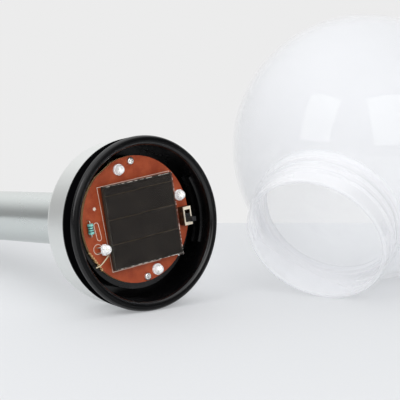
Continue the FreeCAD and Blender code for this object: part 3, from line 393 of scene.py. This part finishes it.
def diode_epoxy():
    """Water-clear epoxy full of small bubbles and cast lines, so that it sparkles white.

    Its faint glow is painted light, standing in for the light that the bubbles scatter."""
    material, tree, shader = new_material("clear_epoxy", {
        "IOR": 1.53, "Roughness": 0.03, "Coat Weight": 1.0, "Emission Color": srgb(252, 252, 255),
        "Emission Strength": 0.12,
    })
    cast = noise(tree, 0.9 * MM, detail=1.0)
    feed(tree, shader, {
        "Base Color": blend(tree, ramp(tree, cast, 0.3, 0.5), (0.88, 0.93, 0.95, 1), (1, 0.995, 0.99, 1)),
        "Transmission Weight": ramp(tree, cast, 0.34, 0.48, 0.8, 0.02),
        "Normal": bump(tree, cast, 0.12 * MM, 0.6),
    })
    return material


# Along the neck's axis from the globe's middle, in millimetres: where the neck's finish, with a stronger painted
# glow, takes over, and the neck's root, which is milkier, and dull because its tight fillet would show as dark
# lines.
NECK_STARTS = (57, 64)
ROOT_HEIGHT = 60.5
ROOT_DULL = (2.5, 5)
ROOT_MILKY = (1.0, 2.5)


def milky_globe():
    """Blown plastic, half clear and half milky, under a smooth glossy skin with faint long waves.

    Its faint glow is painted light, standing in for the light that the milky wall passes on, and is stronger on
    the neck."""
    material, tree, shader = new_material("clear_globe", {
        "Specular IOR Level": 0.2, "Coat Roughness": 0.01, "Coat IOR": 1.55,
        "Emission Color": srgb(248, 249, 255),
    })
    haze = noise(tree, 30 * MM, detail=2.0)
    wave = noise(tree, 22 * MM, detail=0.0)
    along = part_of(tree, placed(tree, GLOBE), "Z")
    neck = span_ramp(tree, along, NECK_STARTS)
    root = away_from(tree, along, ROOT_HEIGHT)
    milk = ramp(tree, neck, 0.0, 1.0, spread(tree, haze, 0.25, 0.29), 0.36)
    feed(tree, shader, {
        "Base Color": blend(tree, neck, (0.73, 0.74, 0.76, 1), (0.68, 0.685, 0.70, 1)),
        "Roughness": spread(tree, haze, 0.3, 0.4),
        "Coat Weight": span_ramp(tree, root, ROOT_DULL, 0.15, 1.0),
        # Painted glow: fainter on the body, stronger on the neck.
        "Emission Strength": ramp(tree, neck, 0.0, 1.0, 0.13, 0.2),
        "Alpha": span_ramp(tree, root, ROOT_MILKY, 0.45, milk),
        "Coat Normal": bump(tree, wave, 0.06 * MM, 0.3),
    })
    return material


def white_ink():
    """Silk-screen ink: off-white, matt, a little worn through."""
    material, tree, shader = new_material("white_ink", {"Roughness": 0.6})
    worn = ramp(tree, noise(tree, 0.3 * MM, placed(tree, BOARD), 3.0), 0.55, 0.7)
    feed(tree, shader, {"Base Color": blend(tree, worn, srgb(236, 222, 208), srgb(205, 160, 130))})
    return material


def phosphor():
    """The pale yellow fill in a white diode's cup, with grains."""
    material, tree, shader = new_material("phosphor", {"Roughness": 0.5})
    grain = noise(tree, 0.15 * MM)
    feed(tree, shader, {"Base Color": blend(tree, grain, srgb(238, 226, 150), srgb(250, 242, 196))})
    return material


# The inductor's dark bands, by how far up the board their middles are, and how far each side of its
# middle a band fades out, in millimetres.
BAND_PLACES = (-0.3, 0.8, 1.9)
BAND_EDGE = (0.18, 0.27)


def teal_lacquer():
    """The inductor's dipped coat, glossy pale teal with dark bands round it."""
    material, tree, shader = new_material("teal_lacquer", {"Roughness": 0.25, "IOR": 1.5,
                                                           "Coat Weight": 0.5})
    place = placed(tree, BOARD)
    cloud = noise(tree, 1.2 * MM, place, 4.0)
    along = part_of(tree, place, "Y")
    body = blend(tree, spread(tree, cloud), srgb(104, 190, 180), srgb(160, 226, 216))
    for middle in BAND_PLACES:
        band = span_ramp(tree, away_from(tree, along, middle), BAND_EDGE, 1.0, 0.0)
        body = blend(tree, band, body, srgb(22, 44, 46))
    feed(tree, shader, {
        "Base Color": body,
        "Normal": bump(tree, cloud, 0.05 * MM, 0.5),
    })
    return material


def make_materials():
    """One material for each slot of the record, and those of the pieces made here."""
    return {
        "cup_silver": brushed_silver("cup_silver", srgb(229, 231, 229), HEAD, 0.36),
        "stem_silver": brushed_silver("stem_silver", srgb(214, 219, 217), HEAD, 0.2),
        "black_moulding": black_moulding(),
        "spike_plastic": moulded("spike_plastic", srgb(22, 22, 24), 0.4, 0.1),
        "board_laminate": board_laminate(),
        "bright_steel": metal("bright_steel", srgb(250, 250, 248), 0.22, 0.36),
        "tin_wire": metal("tin_wire", srgb(246, 244, 236), 0.35, 0.5),
        "foam_black": foam(),
        "panel_back": moulded("panel_back", srgb(60, 58, 50), 0.5),
        "silicon": silicon(),
        "clear_resin": thin_resin(),
        "clear_epoxy": diode_epoxy(),
        "teal_lacquer": teal_lacquer(),
        "switch_phenolic": moulded("switch_phenolic", srgb(66, 38, 24), 0.5),
        "switch_metal": switch_plate(),
        "knob_black": moulded("knob_black", srgb(28, 28, 30), 0.45),
        "cream_insulation": moulded("cream_insulation", srgb(228, 214, 180), 0.4),
        "chip_black": moulded("chip_black", srgb(20, 20, 21), 0.6),
        "cell_can": metal("cell_can", srgb(205, 207, 208), 0.2, 0.35),
        "cell_sleeve_green": moulded("cell_sleeve_green", srgb(40, 128, 70), 0.25),
        "red_insulation": moulded("red_insulation", srgb(170, 26, 24), 0.4),
        "black_insulation": moulded("black_insulation", srgb(18, 18, 19), 0.4),
        "clear_globe": milky_globe(),
        "clear_silicone": thin_silicone(),
        "white_ink": white_ink(),
        "phosphor": phosphor(),
        "resin_lip_highlight": resin_lip_highlight(),
        "clear_glue": clear_cast("clear_glue", (0.97, 0.96, 0.95, 1), 0.08, 1.48),
        "cell_tab": metal("cell_tab", srgb(150, 132, 108), 0.35, 0.5),
    }


def dress_nodes(materials):
    """Gives every CAD node the material of its slot."""
    for node in NODES.values():
        for slot in node.material_slots:
            name = slot.material.name.split(".")[0]
            slot.link = "OBJECT"
            slot.material = materials[name]


# ---------------------------------------------------------------- mesh helpers

def local_box(name, matrix):
    """Lowest and highest corner of a CAD node in a local frame, in millimetres."""
    inverse = matrix.inverted()
    points = [inverse @ vertex.co / MM for vertex in NODES[name].data.vertices]
    low = Vector([min(point[axis] for point in points) for axis in range(3)])
    high = Vector([max(point[axis] for point in points) for axis in range(3)])
    return low, high


def link(thing):
    """Puts an object into the scene."""
    bpy.context.scene.collection.objects.link(thing)
    return thing


def make_piece(name, vertices, faces, matrix, body, material, smooth=True):
    """A mesh piece from millimetres in a local frame, which rides on a CAD body."""
    place = matrix @ Matrix.Scale(MM, 4)
    mesh = bpy.data.meshes.new(name)
    mesh.from_pydata([place @ Vector(vertex) for vertex in vertices], [], faces)
    work = bmesh.new()
    work.from_mesh(mesh)
    bmesh.ops.recalc_face_normals(work, faces=work.faces)
    for face in work.faces:
        face.smooth = smooth
    work.to_mesh(mesh)
    work.free()
    mesh.materials.append(material)
    piece = link(bpy.data.objects.new(name, mesh))
    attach(piece, body)
    return piece


def lathe(profile, segments, push=None):
    """A profile of (radius, height) turned about Z, closed where the radius is 0.

    push(radius, height, angle) says how far out a vertex moves."""
    vertices, rings, faces = [], [], []
    for radius, height in profile:
        ring = []
        for step in range(segments if radius else 1):
            angle = 2 * math.pi * step / segments
            reach = radius + (push(radius, height, angle) if push else 0)
            ring.append(len(vertices))
            vertices.append((reach * math.cos(angle), reach * math.sin(angle), height))
        rings.append(ring)
    for lower, upper in zip(rings, rings[1:]):
        for step in range(segments):
            corners = []
            for ring, at in ((lower, step), (lower, step + 1), (upper, step + 1), (upper, step)):
                corner = ring[at % len(ring)]
                if corner not in corners:
                    corners.append(corner)
            faces.append(corners)
    return vertices, faces


def arc(centre, radius, start, end, steps):
    """Points from one angle to another, in degrees, both ends included."""
    points = []
    for step in range(steps + 1):
        angle = math.radians(start + (end - start) * step / steps)
        points.append((centre[0] + radius * math.cos(angle), centre[1] + radius * math.sin(angle)))
    return points


def stroke(points, width, low, high, closed=False):
    """A flat line of one width along points in the local XY plane, from height low to high."""
    count = len(points)
    path = [Vector(point) for point in points]
    vertices, faces = [], []
    for index, point in enumerate(path):
        before = path[index - 1] if closed or index else None
        after = path[(index + 1) % count] if closed or index < count - 1 else None
        first = (point - before if before is not None else after - point).normalized()
        second = (after - point if after is not None else point - before).normalized()
        across = Vector((-first.y - second.y, first.x + second.x)).normalized()
        reach = width / 2 / max(0.4, across.dot(Vector((-first.y, first.x))))
        for side in (1, -1):
            edge = point + across * reach * side
            vertices += [(edge.x, edge.y, low), (edge.x, edge.y, high)]
    for index in range(count if closed else count - 1):
        a, b = 4 * index, 4 * ((index + 1) % count)
        faces += [(a + 1, b + 1, b + 3, a + 3), (a, b, b + 1, a + 1), (a + 2, a + 3, b + 3, b + 2),
                  (a, a + 2, b + 2, b)]
    if not closed:
        end = 4 * (count - 1)
        faces += [(0, 1, 3, 2), (end, end + 2, end + 3, end + 1)]
    return vertices, faces


def joined(parts):
    """Several (vertices, faces) pairs as one."""
    vertices, faces = [], []
    for more_vertices, more_faces in parts:
        start = len(vertices)
        vertices += more_vertices
        faces += [tuple(corner + start for corner in face) for face in more_faces]
    return vertices, faces


def board_piece(name, parts, material):
    """Sharp-edged (vertices, faces) pairs, in millimetres on the board, as one piece of the head."""
    vertices, faces = joined(parts)
    make_piece(name, vertices, faces, BOARD, "head", material, smooth=False)


ROUNDING_SEGMENTS = 4


def slab(name, low, high, matrix, round_by, body, material):
    """A box with rounded edges, given by its corners in a local frame in millimetres."""
    vertices = [(x, y, z) for x in (low[0], high[0]) for y in (low[1], high[1]) for z in (low[2], high[2])]
    faces = [(0, 1, 3, 2), (4, 6, 7, 5), (0, 4, 5, 1), (2, 3, 7, 6), (0, 2, 6, 4), (1, 5, 7, 3)]
    piece = make_piece(name, vertices, faces, matrix, body, material)
    rounding = piece.modifiers.new("rounding", "BEVEL")
    rounding.width = round_by * MM
    rounding.segments = ROUNDING_SEGMENTS
    rounding.harden_normals = True
    return piece


# ---------------------------------------------------------------- the globe

# Sizes in millimetres, heights along the neck's axis from the globe's middle, and angles in degrees.
GLOBE_RADIUS = GLOBE_MIDDLE.z / MM
GLOBE_WALL = 2.0
NECK_BORE = MOUNTS["neck_inside"]["dims"]["r_mm"]
NECK_RADIUS = 35.35
NECK_END = 81.69
NECK_FILLET = 2.2
LIP_ROUND = 0.9
# The thread ends at this height. Its ridge has flanks this wide, and fades in and out over this angle.
THREAD_PITCH = 5.5
THREAD_TURNS = 1.9
THREAD_HIGH = 77.0
THREAD_REACH = 1.2
THREAD_WIDTH = 2.4
THREAD_FLANK = 0.72
THREAD_FADE = 12.0
# The mould's parting line crosses the thread on both sides, where the ridges are cut down.
PARTING_ANGLE = 58.0
PARTING_HALF = 3.0
PARTING_FADE = 1.5
PARTING_CUT = 0.75
# How finely the globe's mesh is divided: round it, from pole to neck, along the neck, and at its lip.
GLOBE_SEGMENTS = 160
GLOBE_STEPS = 56
NECK_STEP = 0.4
LIP_STEPS = (5, 6)
# The lip's rounding leaves the neck at this angle, so that it doesn't repeat the neck's last point.
LIP_START = 15


def eased(share):
    """0 to 1, eased at both ends."""
    share = min(1.0, max(0.0, share))
    return share * share * (3 - 2 * share)


def thread_push(radius, height, angle):
    """How far the thread's ridge stands out of the neck at a height and an angle."""
    if radius != NECK_RADIUS:
        return 0.0
    low = THREAD_HIGH - THREAD_PITCH * THREAD_TURNS
    reach = 0.0
    for turn in range(math.ceil(THREAD_TURNS)):
        run = math.degrees(angle) + 360 * turn
        left = 360 * THREAD_TURNS - run
        away = abs(height - low - THREAD_PITCH * run / 360)
        ridge = eased((THREAD_WIDTH / 2 - away) / THREAD_FLANK)
        reach = max(reach, ridge * eased(run / THREAD_FADE) * eased(left / THREAD_FADE))
    off = abs((math.degrees(angle) - PARTING_ANGLE + 90) % 180 - 90)
    return THREAD_REACH * reach * (1 - PARTING_CUT * eased(PARTING_FADE - off / PARTING_HALF))


def globe_profile():
    """The globe's wall from its outside pole, along the neck, to its inside pole."""
    root = math.degrees(math.acos(-math.sqrt(1 - (NECK_RADIUS / GLOBE_RADIUS) ** 2)))
    inner = GLOBE_RADIUS - GLOBE_WALL
    inner_root = math.degrees(math.acos(-math.sqrt(1 - (NECK_BORE / inner) ** 2)))
    stop = root - math.degrees(NECK_FILLET / GLOBE_RADIUS)
    outside = [(y, -x) for x, y in arc((0, 0), GLOBE_RADIUS, 0, stop, GLOBE_STEPS)]
    corner = math.sqrt(GLOBE_RADIUS ** 2 - NECK_RADIUS ** 2)
    first, middle, last = outside[-1], (NECK_RADIUS, corner), (NECK_RADIUS, corner + NECK_FILLET)
    fillet = []
    for share in (0.2, 0.4, 0.6, 0.8):
        fillet.append(tuple(a * (1 - share) ** 2 + 2 * b * share * (1 - share) + c * share ** 2
                            for a, b, c in zip(first, middle, last)))
    straight = NECK_END - LIP_ROUND
    count = round((straight - last[1]) / NECK_STEP)
    neck = [(NECK_RADIUS, last[1] + (straight - last[1]) * index / count) for index in range(count + 1)]
    lip = arc((NECK_RADIUS - LIP_ROUND, straight), LIP_ROUND, LIP_START, 90, LIP_STEPS[0])
    lip += arc((NECK_BORE + LIP_ROUND, straight), LIP_ROUND, 90, 180, LIP_STEPS[1])
    inside = [(y, -x) for x, y in arc((0, 0), inner, inner_root, 0, GLOBE_STEPS)]
    profile = outside + fillet + neck + lip + inside
    profile[0] = (0, -GLOBE_RADIUS)
    profile[-1] = (0, -inner)
    return profile


def make_globe(materials):
    """The globe as one smooth shell with its thread, in the place of the CAD one."""
    vertices, faces = lathe(globe_profile(), GLOBE_SEGMENTS, thread_push)
    globe = make_piece("globe_blown", vertices, faces, GLOBE, "globe", materials["clear_globe"])
    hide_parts("globe_shell")


# ---------------------------------------------------------------- the board's fine details

# Where one cell ends and the next one starts, as shares of the panel's height from its top.
CELL_GAPS = (0.115, 0.405, 0.70)
# Everything below is in millimetres, and places are from the board's middle. The cast resin starts this
# far over the cells, with edges rounded by this much.
RESIN_LIFT = 0.03
RESIN_ROUND = 0.25
# The resin's edge strip, painted light as a highlight, from below its face to above it.
LIP_WIDTH = 0.3
LIP_LEVELS = (-0.12, 0.03)
# The line between two cells, from below their face to above it. Its right half stands a little higher up.
TAB_WIDTH = 0.26
TAB_STEP = 0.3
TAB_LEVELS = (-0.05, 0.015)
# The ink's lines: round the panel, round a part that isn't fitted, and the places that they mark.
INK_WIDTH = 0.26
INK_TOP = 0.03
PANEL_INK = ((10.0, -21.9), (-17.7, -21.9), (-19.4, 18.8), (22.4, 19.2), (22.9, -4.0))
SPARE_INK = ((-22.9, 1.6), (-22.2, -4.6))
SPARE_HALF = 1.25
SLOT_STEPS = 6
MARK_PLACE = (-22.5, 9.3)
MARK_RADIUS = 0.95
MARK_CORNERS = 12
# Every second corner of the mark is pulled in by these shares, sideways and upwards.
MARK_DENT = (0.2, 0.3)
DIODES = {"1": (-6.4, 25.0), "2": (26.2, 6.7), "3": (-24.3, -10.1), "4": (7.25, -25.9)}
# One diode leans on long leads, beside its outline: a circle from the first of these angles to the
# second, closed by a flat.
LEANING_DIODE = "3"
LEANING_OUTLINE = (-23.9, -9.6)
OUTLINE_RADIUS = 2.35
OUTLINE_ANGLES = (35, 325)
OUTLINE_STEPS = 24
LEAN_SHIFT = Vector((2.1, 0, 2.2)) * MM
LEAN_ANGLE = 28
LEAN = Matrix.Translation(LEAN_SHIFT) @ Matrix.Rotation(math.radians(LEAN_ANGLE), 4, "Y")


def ringed_slot(start, end, half):
    """A long outline with round ends about the line from start to end."""
    heading = math.degrees(math.atan2(end[1] - start[1], end[0] - start[0]))
    far_end = arc(end, half, heading - 90, heading + 90, SLOT_STEPS)
    return far_end + arc(start, half, heading + 90, heading + 270, SLOT_STEPS)


def mark():
    """A blot of ink with a ragged edge."""
    across, up = MARK_PLACE
    outline = []
    for index, (x, y) in enumerate(arc((0, 0), MARK_RADIUS, 0, 360 - 360 / MARK_CORNERS, MARK_CORNERS - 1)):
        dented = 1 - index % 2
        outline.append((across + x * (1 - MARK_DENT[0] * dented), up + y * (1 - MARK_DENT[1] * dented)))
    vertices = [(x, y, level) for level in (0, INK_TOP) for x, y in outline]
    count = len(outline)
    sides = [(a, (a + 1) % count, (a + 1) % count + count, a + count) for a in range(count)]
    return vertices, [tuple(range(count)), tuple(range(count, 2 * count)), *sides]


def make_ink(materials):
    """The silk-screened outlines round the panel, the leaning diode's place and a spare one, and a blot."""
    spare = ringed_slot(*SPARE_INK, SPARE_HALF)
    diode = arc(LEANING_OUTLINE, OUTLINE_RADIUS, *OUTLINE_ANGLES, OUTLINE_STEPS)
    parts = [
        stroke(PANEL_INK, INK_WIDTH, 0, INK_TOP),
        stroke(spare, INK_WIDTH, 0, INK_TOP, closed=True),
        stroke(diode, INK_WIDTH, 0, INK_TOP, closed=True),
        mark(),
    ]
    board_piece("board_ink", parts, materials["white_ink"])


def make_panel_top(materials):
    """The panel's clear resin with rounded edges, and the thin tabs between its cells."""
    low, high = local_box("panel_resin", BOARD)
    cell_low, cell_high = local_box("solar_cells", BOARD)
    floor = cell_high.z + RESIN_LIFT
    resin = slab("panel_cast_resin", (low.x, low.y, floor), tuple(high), BOARD, RESIN_ROUND, "head",
                 materials["clear_resin"])
    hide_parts("panel_resin")
    middle = (cell_low.x + cell_high.x) / 2
    tab_levels = [cell_high.z + level for level in TAB_LEVELS]
    tabs = []
    for share in CELL_GAPS:
        level = high.y - share * (high.y - low.y)
        left = ((cell_low.x, level), (middle, level))
        right = ((middle, level + TAB_STEP), (cell_high.x, level + TAB_STEP))
        tabs += [stroke(line, TAB_WIDTH, *tab_levels) for line in (left, right)]
    board_piece("cell_tabs", tabs, materials["cell_tab"])
    # A strip round the resin's top edges that carries its painted highlight.
    inset = LIP_WIDTH / 2
    corners = [(low.x + inset, low.y + inset), (high.x - inset, low.y + inset),
               (high.x - inset, high.y - inset), (low.x + inset, high.y - inset)]
    lip_levels = [high.z + level for level in LIP_LEVELS]
    lip = stroke(corners, LIP_WIDTH, *lip_levels, closed=True)
    board_piece("resin_lip_highlight", [lip], materials["resin_lip_highlight"])


# A diode's cup and the fill in it, as (radius, height) over its foot in millimetres.
CUP_OUTLINE = ((0, 1.5), (0.9, 1.5), (1.75, 2.3), (1.65, 2.36), (0.85, 1.75), (0, 1.7))
CUP_SEGMENTS = 32
FILL_OUTLINE = ((0, 1.72), (0.45, 1.75), (0.6, 1.9), (0.35, 2.02), (0, 2.05))
FILL_SEGMENTS = 24


def diode_frame(name):
    """Where a diode's foot stands; one leans on its long leads."""
    foot = BOARD @ Matrix.Translation(Vector((*DIODES[name], 0)) * MM)
    return foot @ LEAN if name == LEANING_DIODE else foot


def make_diode_insides(materials):
    """The bright cup with its phosphor inside each diode."""
    for name in DIODES:
        place = diode_frame(name)
        vertices, faces = lathe(CUP_OUTLINE, CUP_SEGMENTS)
        make_piece("diode_cup_" + name, vertices, faces, place, "head", materials["tin_wire"])
        vertices, faces = lathe(FILL_OUTLINE, FILL_SEGMENTS)
        make_piece("diode_fill_" + name, vertices, faces, place, "head", materials["phosphor"])


# The board's snapped edge and the torn fibres along it, in millimetres.
SNAP_START = (-28.6, -10.2)
SNAP_END = (-22.8, -19.9)
FIBRE_COUNT = 17
FIBRE_HALF = 0.28
FIBRE_ROOT = 0.5
FIBRE_LEVELS = (-1.1, -0.12)
# How far the fibres stand out, at least and how much more at most, and how far their tips lean.
FIBRE_REACH = (0.15, 0.55)
FIBRE_LEAN = 0.25
# The waves that make the fibres uneven turn by this much from one fibre to the next.
REACH_WAVE = 2.4
LEAN_WAVE = 1.7


def make_splinters(materials):
    """Torn fibres of uneven length along the edge where the board was snapped off."""
    start, end = Vector(SNAP_START), Vector(SNAP_END)
    along = (end - start).normalized()
    outward = Vector((along.y, -along.x))
    if outward.dot(start) < 0:
        outward = -outward
    parts = []
    for index in range(FIBRE_COUNT):
        root = start.lerp(end, (index + 0.5) / FIBRE_COUNT) - outward * FIBRE_ROOT
        reach = FIBRE_ROOT + FIBRE_REACH[0] + FIBRE_REACH[1] * abs(math.sin(REACH_WAVE * index + 1))
        tip = root + outward * reach + along * FIBRE_LEAN * math.sin(LEAN_WAVE * index)
        outline = (root - along * FIBRE_HALF, root + along * FIBRE_HALF, tip)
        corners = [(point.x, point.y, level) for level in FIBRE_LEVELS for point in outline]
        parts.append((corners, [(0, 1, 2), (3, 5, 4), (0, 3, 4, 1), (1, 4, 5, 2), (2, 5, 3, 0)]))
    board_piece("board_splinters", parts, materials["board_laminate"])


# The drop of glue, in millimetres: its place on the board, its sizes, and the heights where it is shaped.
GLUE_PLACE = (21.2, -20.6)
GLUE_RADIUS = 1.3
GLUE_TOP = 4.2
GLUE_LEVELS = (0.02, 0.6, 1.4, 2.2, 3.0, 3.6)
GLUE_CAP = 0.12
GLUE_SEGMENTS = 32
# Shares of its radius: at its foot, what it loses on the way up, at its cap, and its lumps.
GLUE_FOOT = 1.15
GLUE_TAPER = 0.5
GLUE_TIP = 0.4
GLUE_LUMP = 0.12


def glue_push(radius, height, angle):
    """How far the glue's uneven side stands out at a height and an angle."""
    return GLUE_LUMP * GLUE_RADIUS * math.sin(3 * angle + height) * bool(radius)


def make_glue(materials):
    """The drop of clear glue that runs down the panel's lower right corner."""
    profile = [(0, GLUE_LEVELS[0])]
    for level in GLUE_LEVELS:
        profile.append((GLUE_RADIUS * (GLUE_FOOT - GLUE_TAPER * eased(level / GLUE_TOP)), level))
    profile += [(GLUE_RADIUS * GLUE_TIP, GLUE_TOP - GLUE_CAP), (0, GLUE_TOP)]
    vertices, faces = lathe(profile, GLUE_SEGMENTS, glue_push)
    place = BOARD @ Matrix.Translation(Vector((*GLUE_PLACE, 0)) * MM)
    make_piece("glue_drop", vertices, faces, place, "head", materials["clear_glue"])


# ---------------------------------------------------------------- the studio

# The camera, from the rim's middle: level distance and bearing to it, its height over the ground, and
# where it looks. Bearings turn from -Y towards +X, so that 0 looks along +Y.
CAMERA_REACH = 0.669
CAMERA_BEARING = 55.16
CAMERA_HEIGHT = 0.14507
LOOK_BEARING = 52.98
LOOK_DOWN = 7.893
LENS = 129.29
SENSOR = 36.0
CLIP = (0.02, 50)
# The floor ends this far ahead of the camera, below the wall, and reaches behind it and to both sides.
FLOOR_REACH = 0.936
FLOOR_BEHIND = -2.5
FLOOR_HALF = 3.0
FLOOR_GLOW = 0.28
# The softboxes as seen from the globe's middle: bearing, elevation, width and height in degrees, and
# radiance.
SOFTBOX_DISTANCE = 1.5
SOFTBOXES = {
    "softbox_left": (3, 27, 27, 36, 2.2),
    "softbox_right": (70, 28, 34, 40, 2.2),
}
# The wall behind the object, what reflections see of the room, and the light tent round the matt surfaces.
WALL = srgb(236, 236, 236)
ROOM_FRONT = (0.10, 0.10, 0.105, 1)
ROOM_BEHIND = (0.85, 0.85, 0.85, 1)
ROOM_OVER = (1.35, 1.36, 1.38, 1)
TENT_SIDES = (0.95, 0.95, 0.96, 1)
TENT_OVER = (1.15, 1.16, 1.18, 1)
# Room and tent are dark round one bearing, at the camera's right, and dim round another, in front and to
# its left: bearing, the cosines where that starts and where it is full, and what room and tent are there.
DARK_SIDE = (155, 0.4, 0.75, (0.03, 0.03, 0.03, 1), (0.12, 0.12, 0.12, 1))
DIM_SIDE = (12, 0.8, 0.95, (0.04, 0.04, 0.04, 1), (0.6, 0.6, 0.61, 1))


def bearing(degrees, elevation=0.0):
    """The direction to something that stands at this bearing and elevation."""
    turn, rise = math.radians(degrees), math.radians(elevation)
    level = math.cos(rise)
    return Vector((math.sin(turn) * level, -math.cos(turn) * level, math.sin(rise)))


def aim(thing, looks_along):
    """Turns a camera or light to look along a direction."""
    thing.rotation_mode = "QUATERNION"
    thing.rotation_quaternion = looks_along.to_track_quat("-Z", "Y")


def make_camera():
    """The camera at the photograph's viewing angle."""
    data = bpy.data.cameras.new("camera")
    data.lens = LENS
    data.sensor_width = SENSOR
    data.clip_start, data.clip_end = CLIP
    camera = link(bpy.data.objects.new("camera", data))
    camera.location = RIM_MIDDLE + bearing(CAMERA_BEARING) * CAMERA_REACH
    camera.location.z = CAMERA_HEIGHT
    aim(camera, -bearing(LOOK_BEARING, LOOK_DOWN))
    bpy.context.scene.camera = camera


def make_softbox(name, degrees, elevation, width, height, radiance):
    """A rectangular light that faces the globe and covers width by height degrees seen from there."""
    data = bpy.data.lights.new(name, "AREA")
    data.shape = "RECTANGLE"
    data.size = 2 * SOFTBOX_DISTANCE * math.tan(math.radians(width / 2))
    data.size_y = 2 * SOFTBOX_DISTANCE * math.tan(math.radians(height / 2))
    data.energy = radiance * math.pi * data.size * data.size_y
    light = link(bpy.data.objects.new(name, data))
    direction = bearing(degrees, elevation)
    light.location = GLOBE_MIDDLE + direction * SOFTBOX_DISTANCE
    aim(light, -direction)
    light.visible_camera = False


def make_world():
    """A pale wall for the camera and through the globe, an even light tent for the matt surfaces, and for
    reflections a room that is bright above and behind and dim in front. Two of its sides are darker."""
    world = bpy.data.worlds.new("studio")
    bpy.context.scene.world = world
    world.use_nodes = True
    tree = world.node_tree
    tree.nodes.clear()
    direction = add(tree, "TexCoord").outputs["Generated"]
    over = ramp(tree, part_of(tree, direction, "Z"), 0.15, 0.95)
    behind = ramp(tree, facing(tree, direction, -bearing(LOOK_BEARING)), 0.1, 0.9)
    room = blend(tree, behind, ROOM_FRONT, ROOM_BEHIND)
    room = blend(tree, over, room, ROOM_OVER)
    tent = blend(tree, over, TENT_SIDES, TENT_OVER)
    for middle, starts, full, room_there, tent_there in (DARK_SIDE, DIM_SIDE):
        share = ramp(tree, facing(tree, direction, bearing(middle)), starts, full)
        room = blend(tree, share, room, room_there)
        tent = blend(tree, share, tent, tent_there)
    path = add(tree, "LightPath")
    light = blend(tree, path.outputs["Is Glossy Ray"], tent, room)
    seen = calculate(tree, "MAXIMUM", path.outputs["Is Camera Ray"], path.outputs["Is Transmission Ray"])
    colour = blend(tree, seen, light, WALL)
    background = add(tree, "Background", {"Color": colour, "Strength": 1.0})
    output = add(tree, "OutputWorld", {"Surface": background.outputs[0]})
    output.is_active_output = True


def floor_paper():
    """Pale matt paper with a faint glow, like a light table's."""
    material, tree, shader = new_material("floor_paper", {
        "Roughness": 0.75, "Specular IOR Level": 0.2, "Emission Color": srgb(250, 252, 255),
        "Emission Strength": FLOOR_GLOW,
    })
    fibre = noise(tree, 1.2 * MM, detail=4.0)
    feed(tree, shader, {
        "Base Color": blend(tree, fibre, srgb(176, 177, 178), srgb(181, 182, 183)),
        "Normal": bump(tree, fibre, 0.02 * MM, 0.3),
    })
    return material


def make_floor():
    """A pale matt floor that ends below the wall, square to the camera."""
    camera = bpy.context.scene.camera
    ahead = -bearing(LOOK_BEARING)
    side = ahead.cross(Vector((0, 0, 1)))
    foot = Vector((camera.location.x, camera.location.y, 0.0))
    near = foot + ahead * FLOOR_BEHIND
    far = foot + ahead * FLOOR_REACH
    reach = side * FLOOR_HALF
    mesh = bpy.data.meshes.new("floor")
    mesh.from_pydata([near - reach, near + reach, far + reach, far - reach], [], [(0, 1, 2, 3)])
    floor = link(bpy.data.objects.new("floor", mesh))
    mesh.materials.append(floor_paper())


def make_studio():
    """Camera, surroundings, floor and lights, shown with plain colours."""
    make_camera()
    make_world()
    make_floor()
    for name, settings in SOFTBOXES.items():
        make_softbox(name, *settings)
    view = bpy.context.scene.view_settings
    view.view_transform = "Standard"
    view.look = "None"
    view.exposure = 0.0
    view.gamma = 1.0


# ---------------------------------------------------------------- build


materials = make_materials()
dress_nodes(materials)
make_globe(materials)
make_panel_top(materials)
make_ink(materials)
make_diode_insides(materials)
make_glue(materials)
make_splinters(materials)
make_studio()
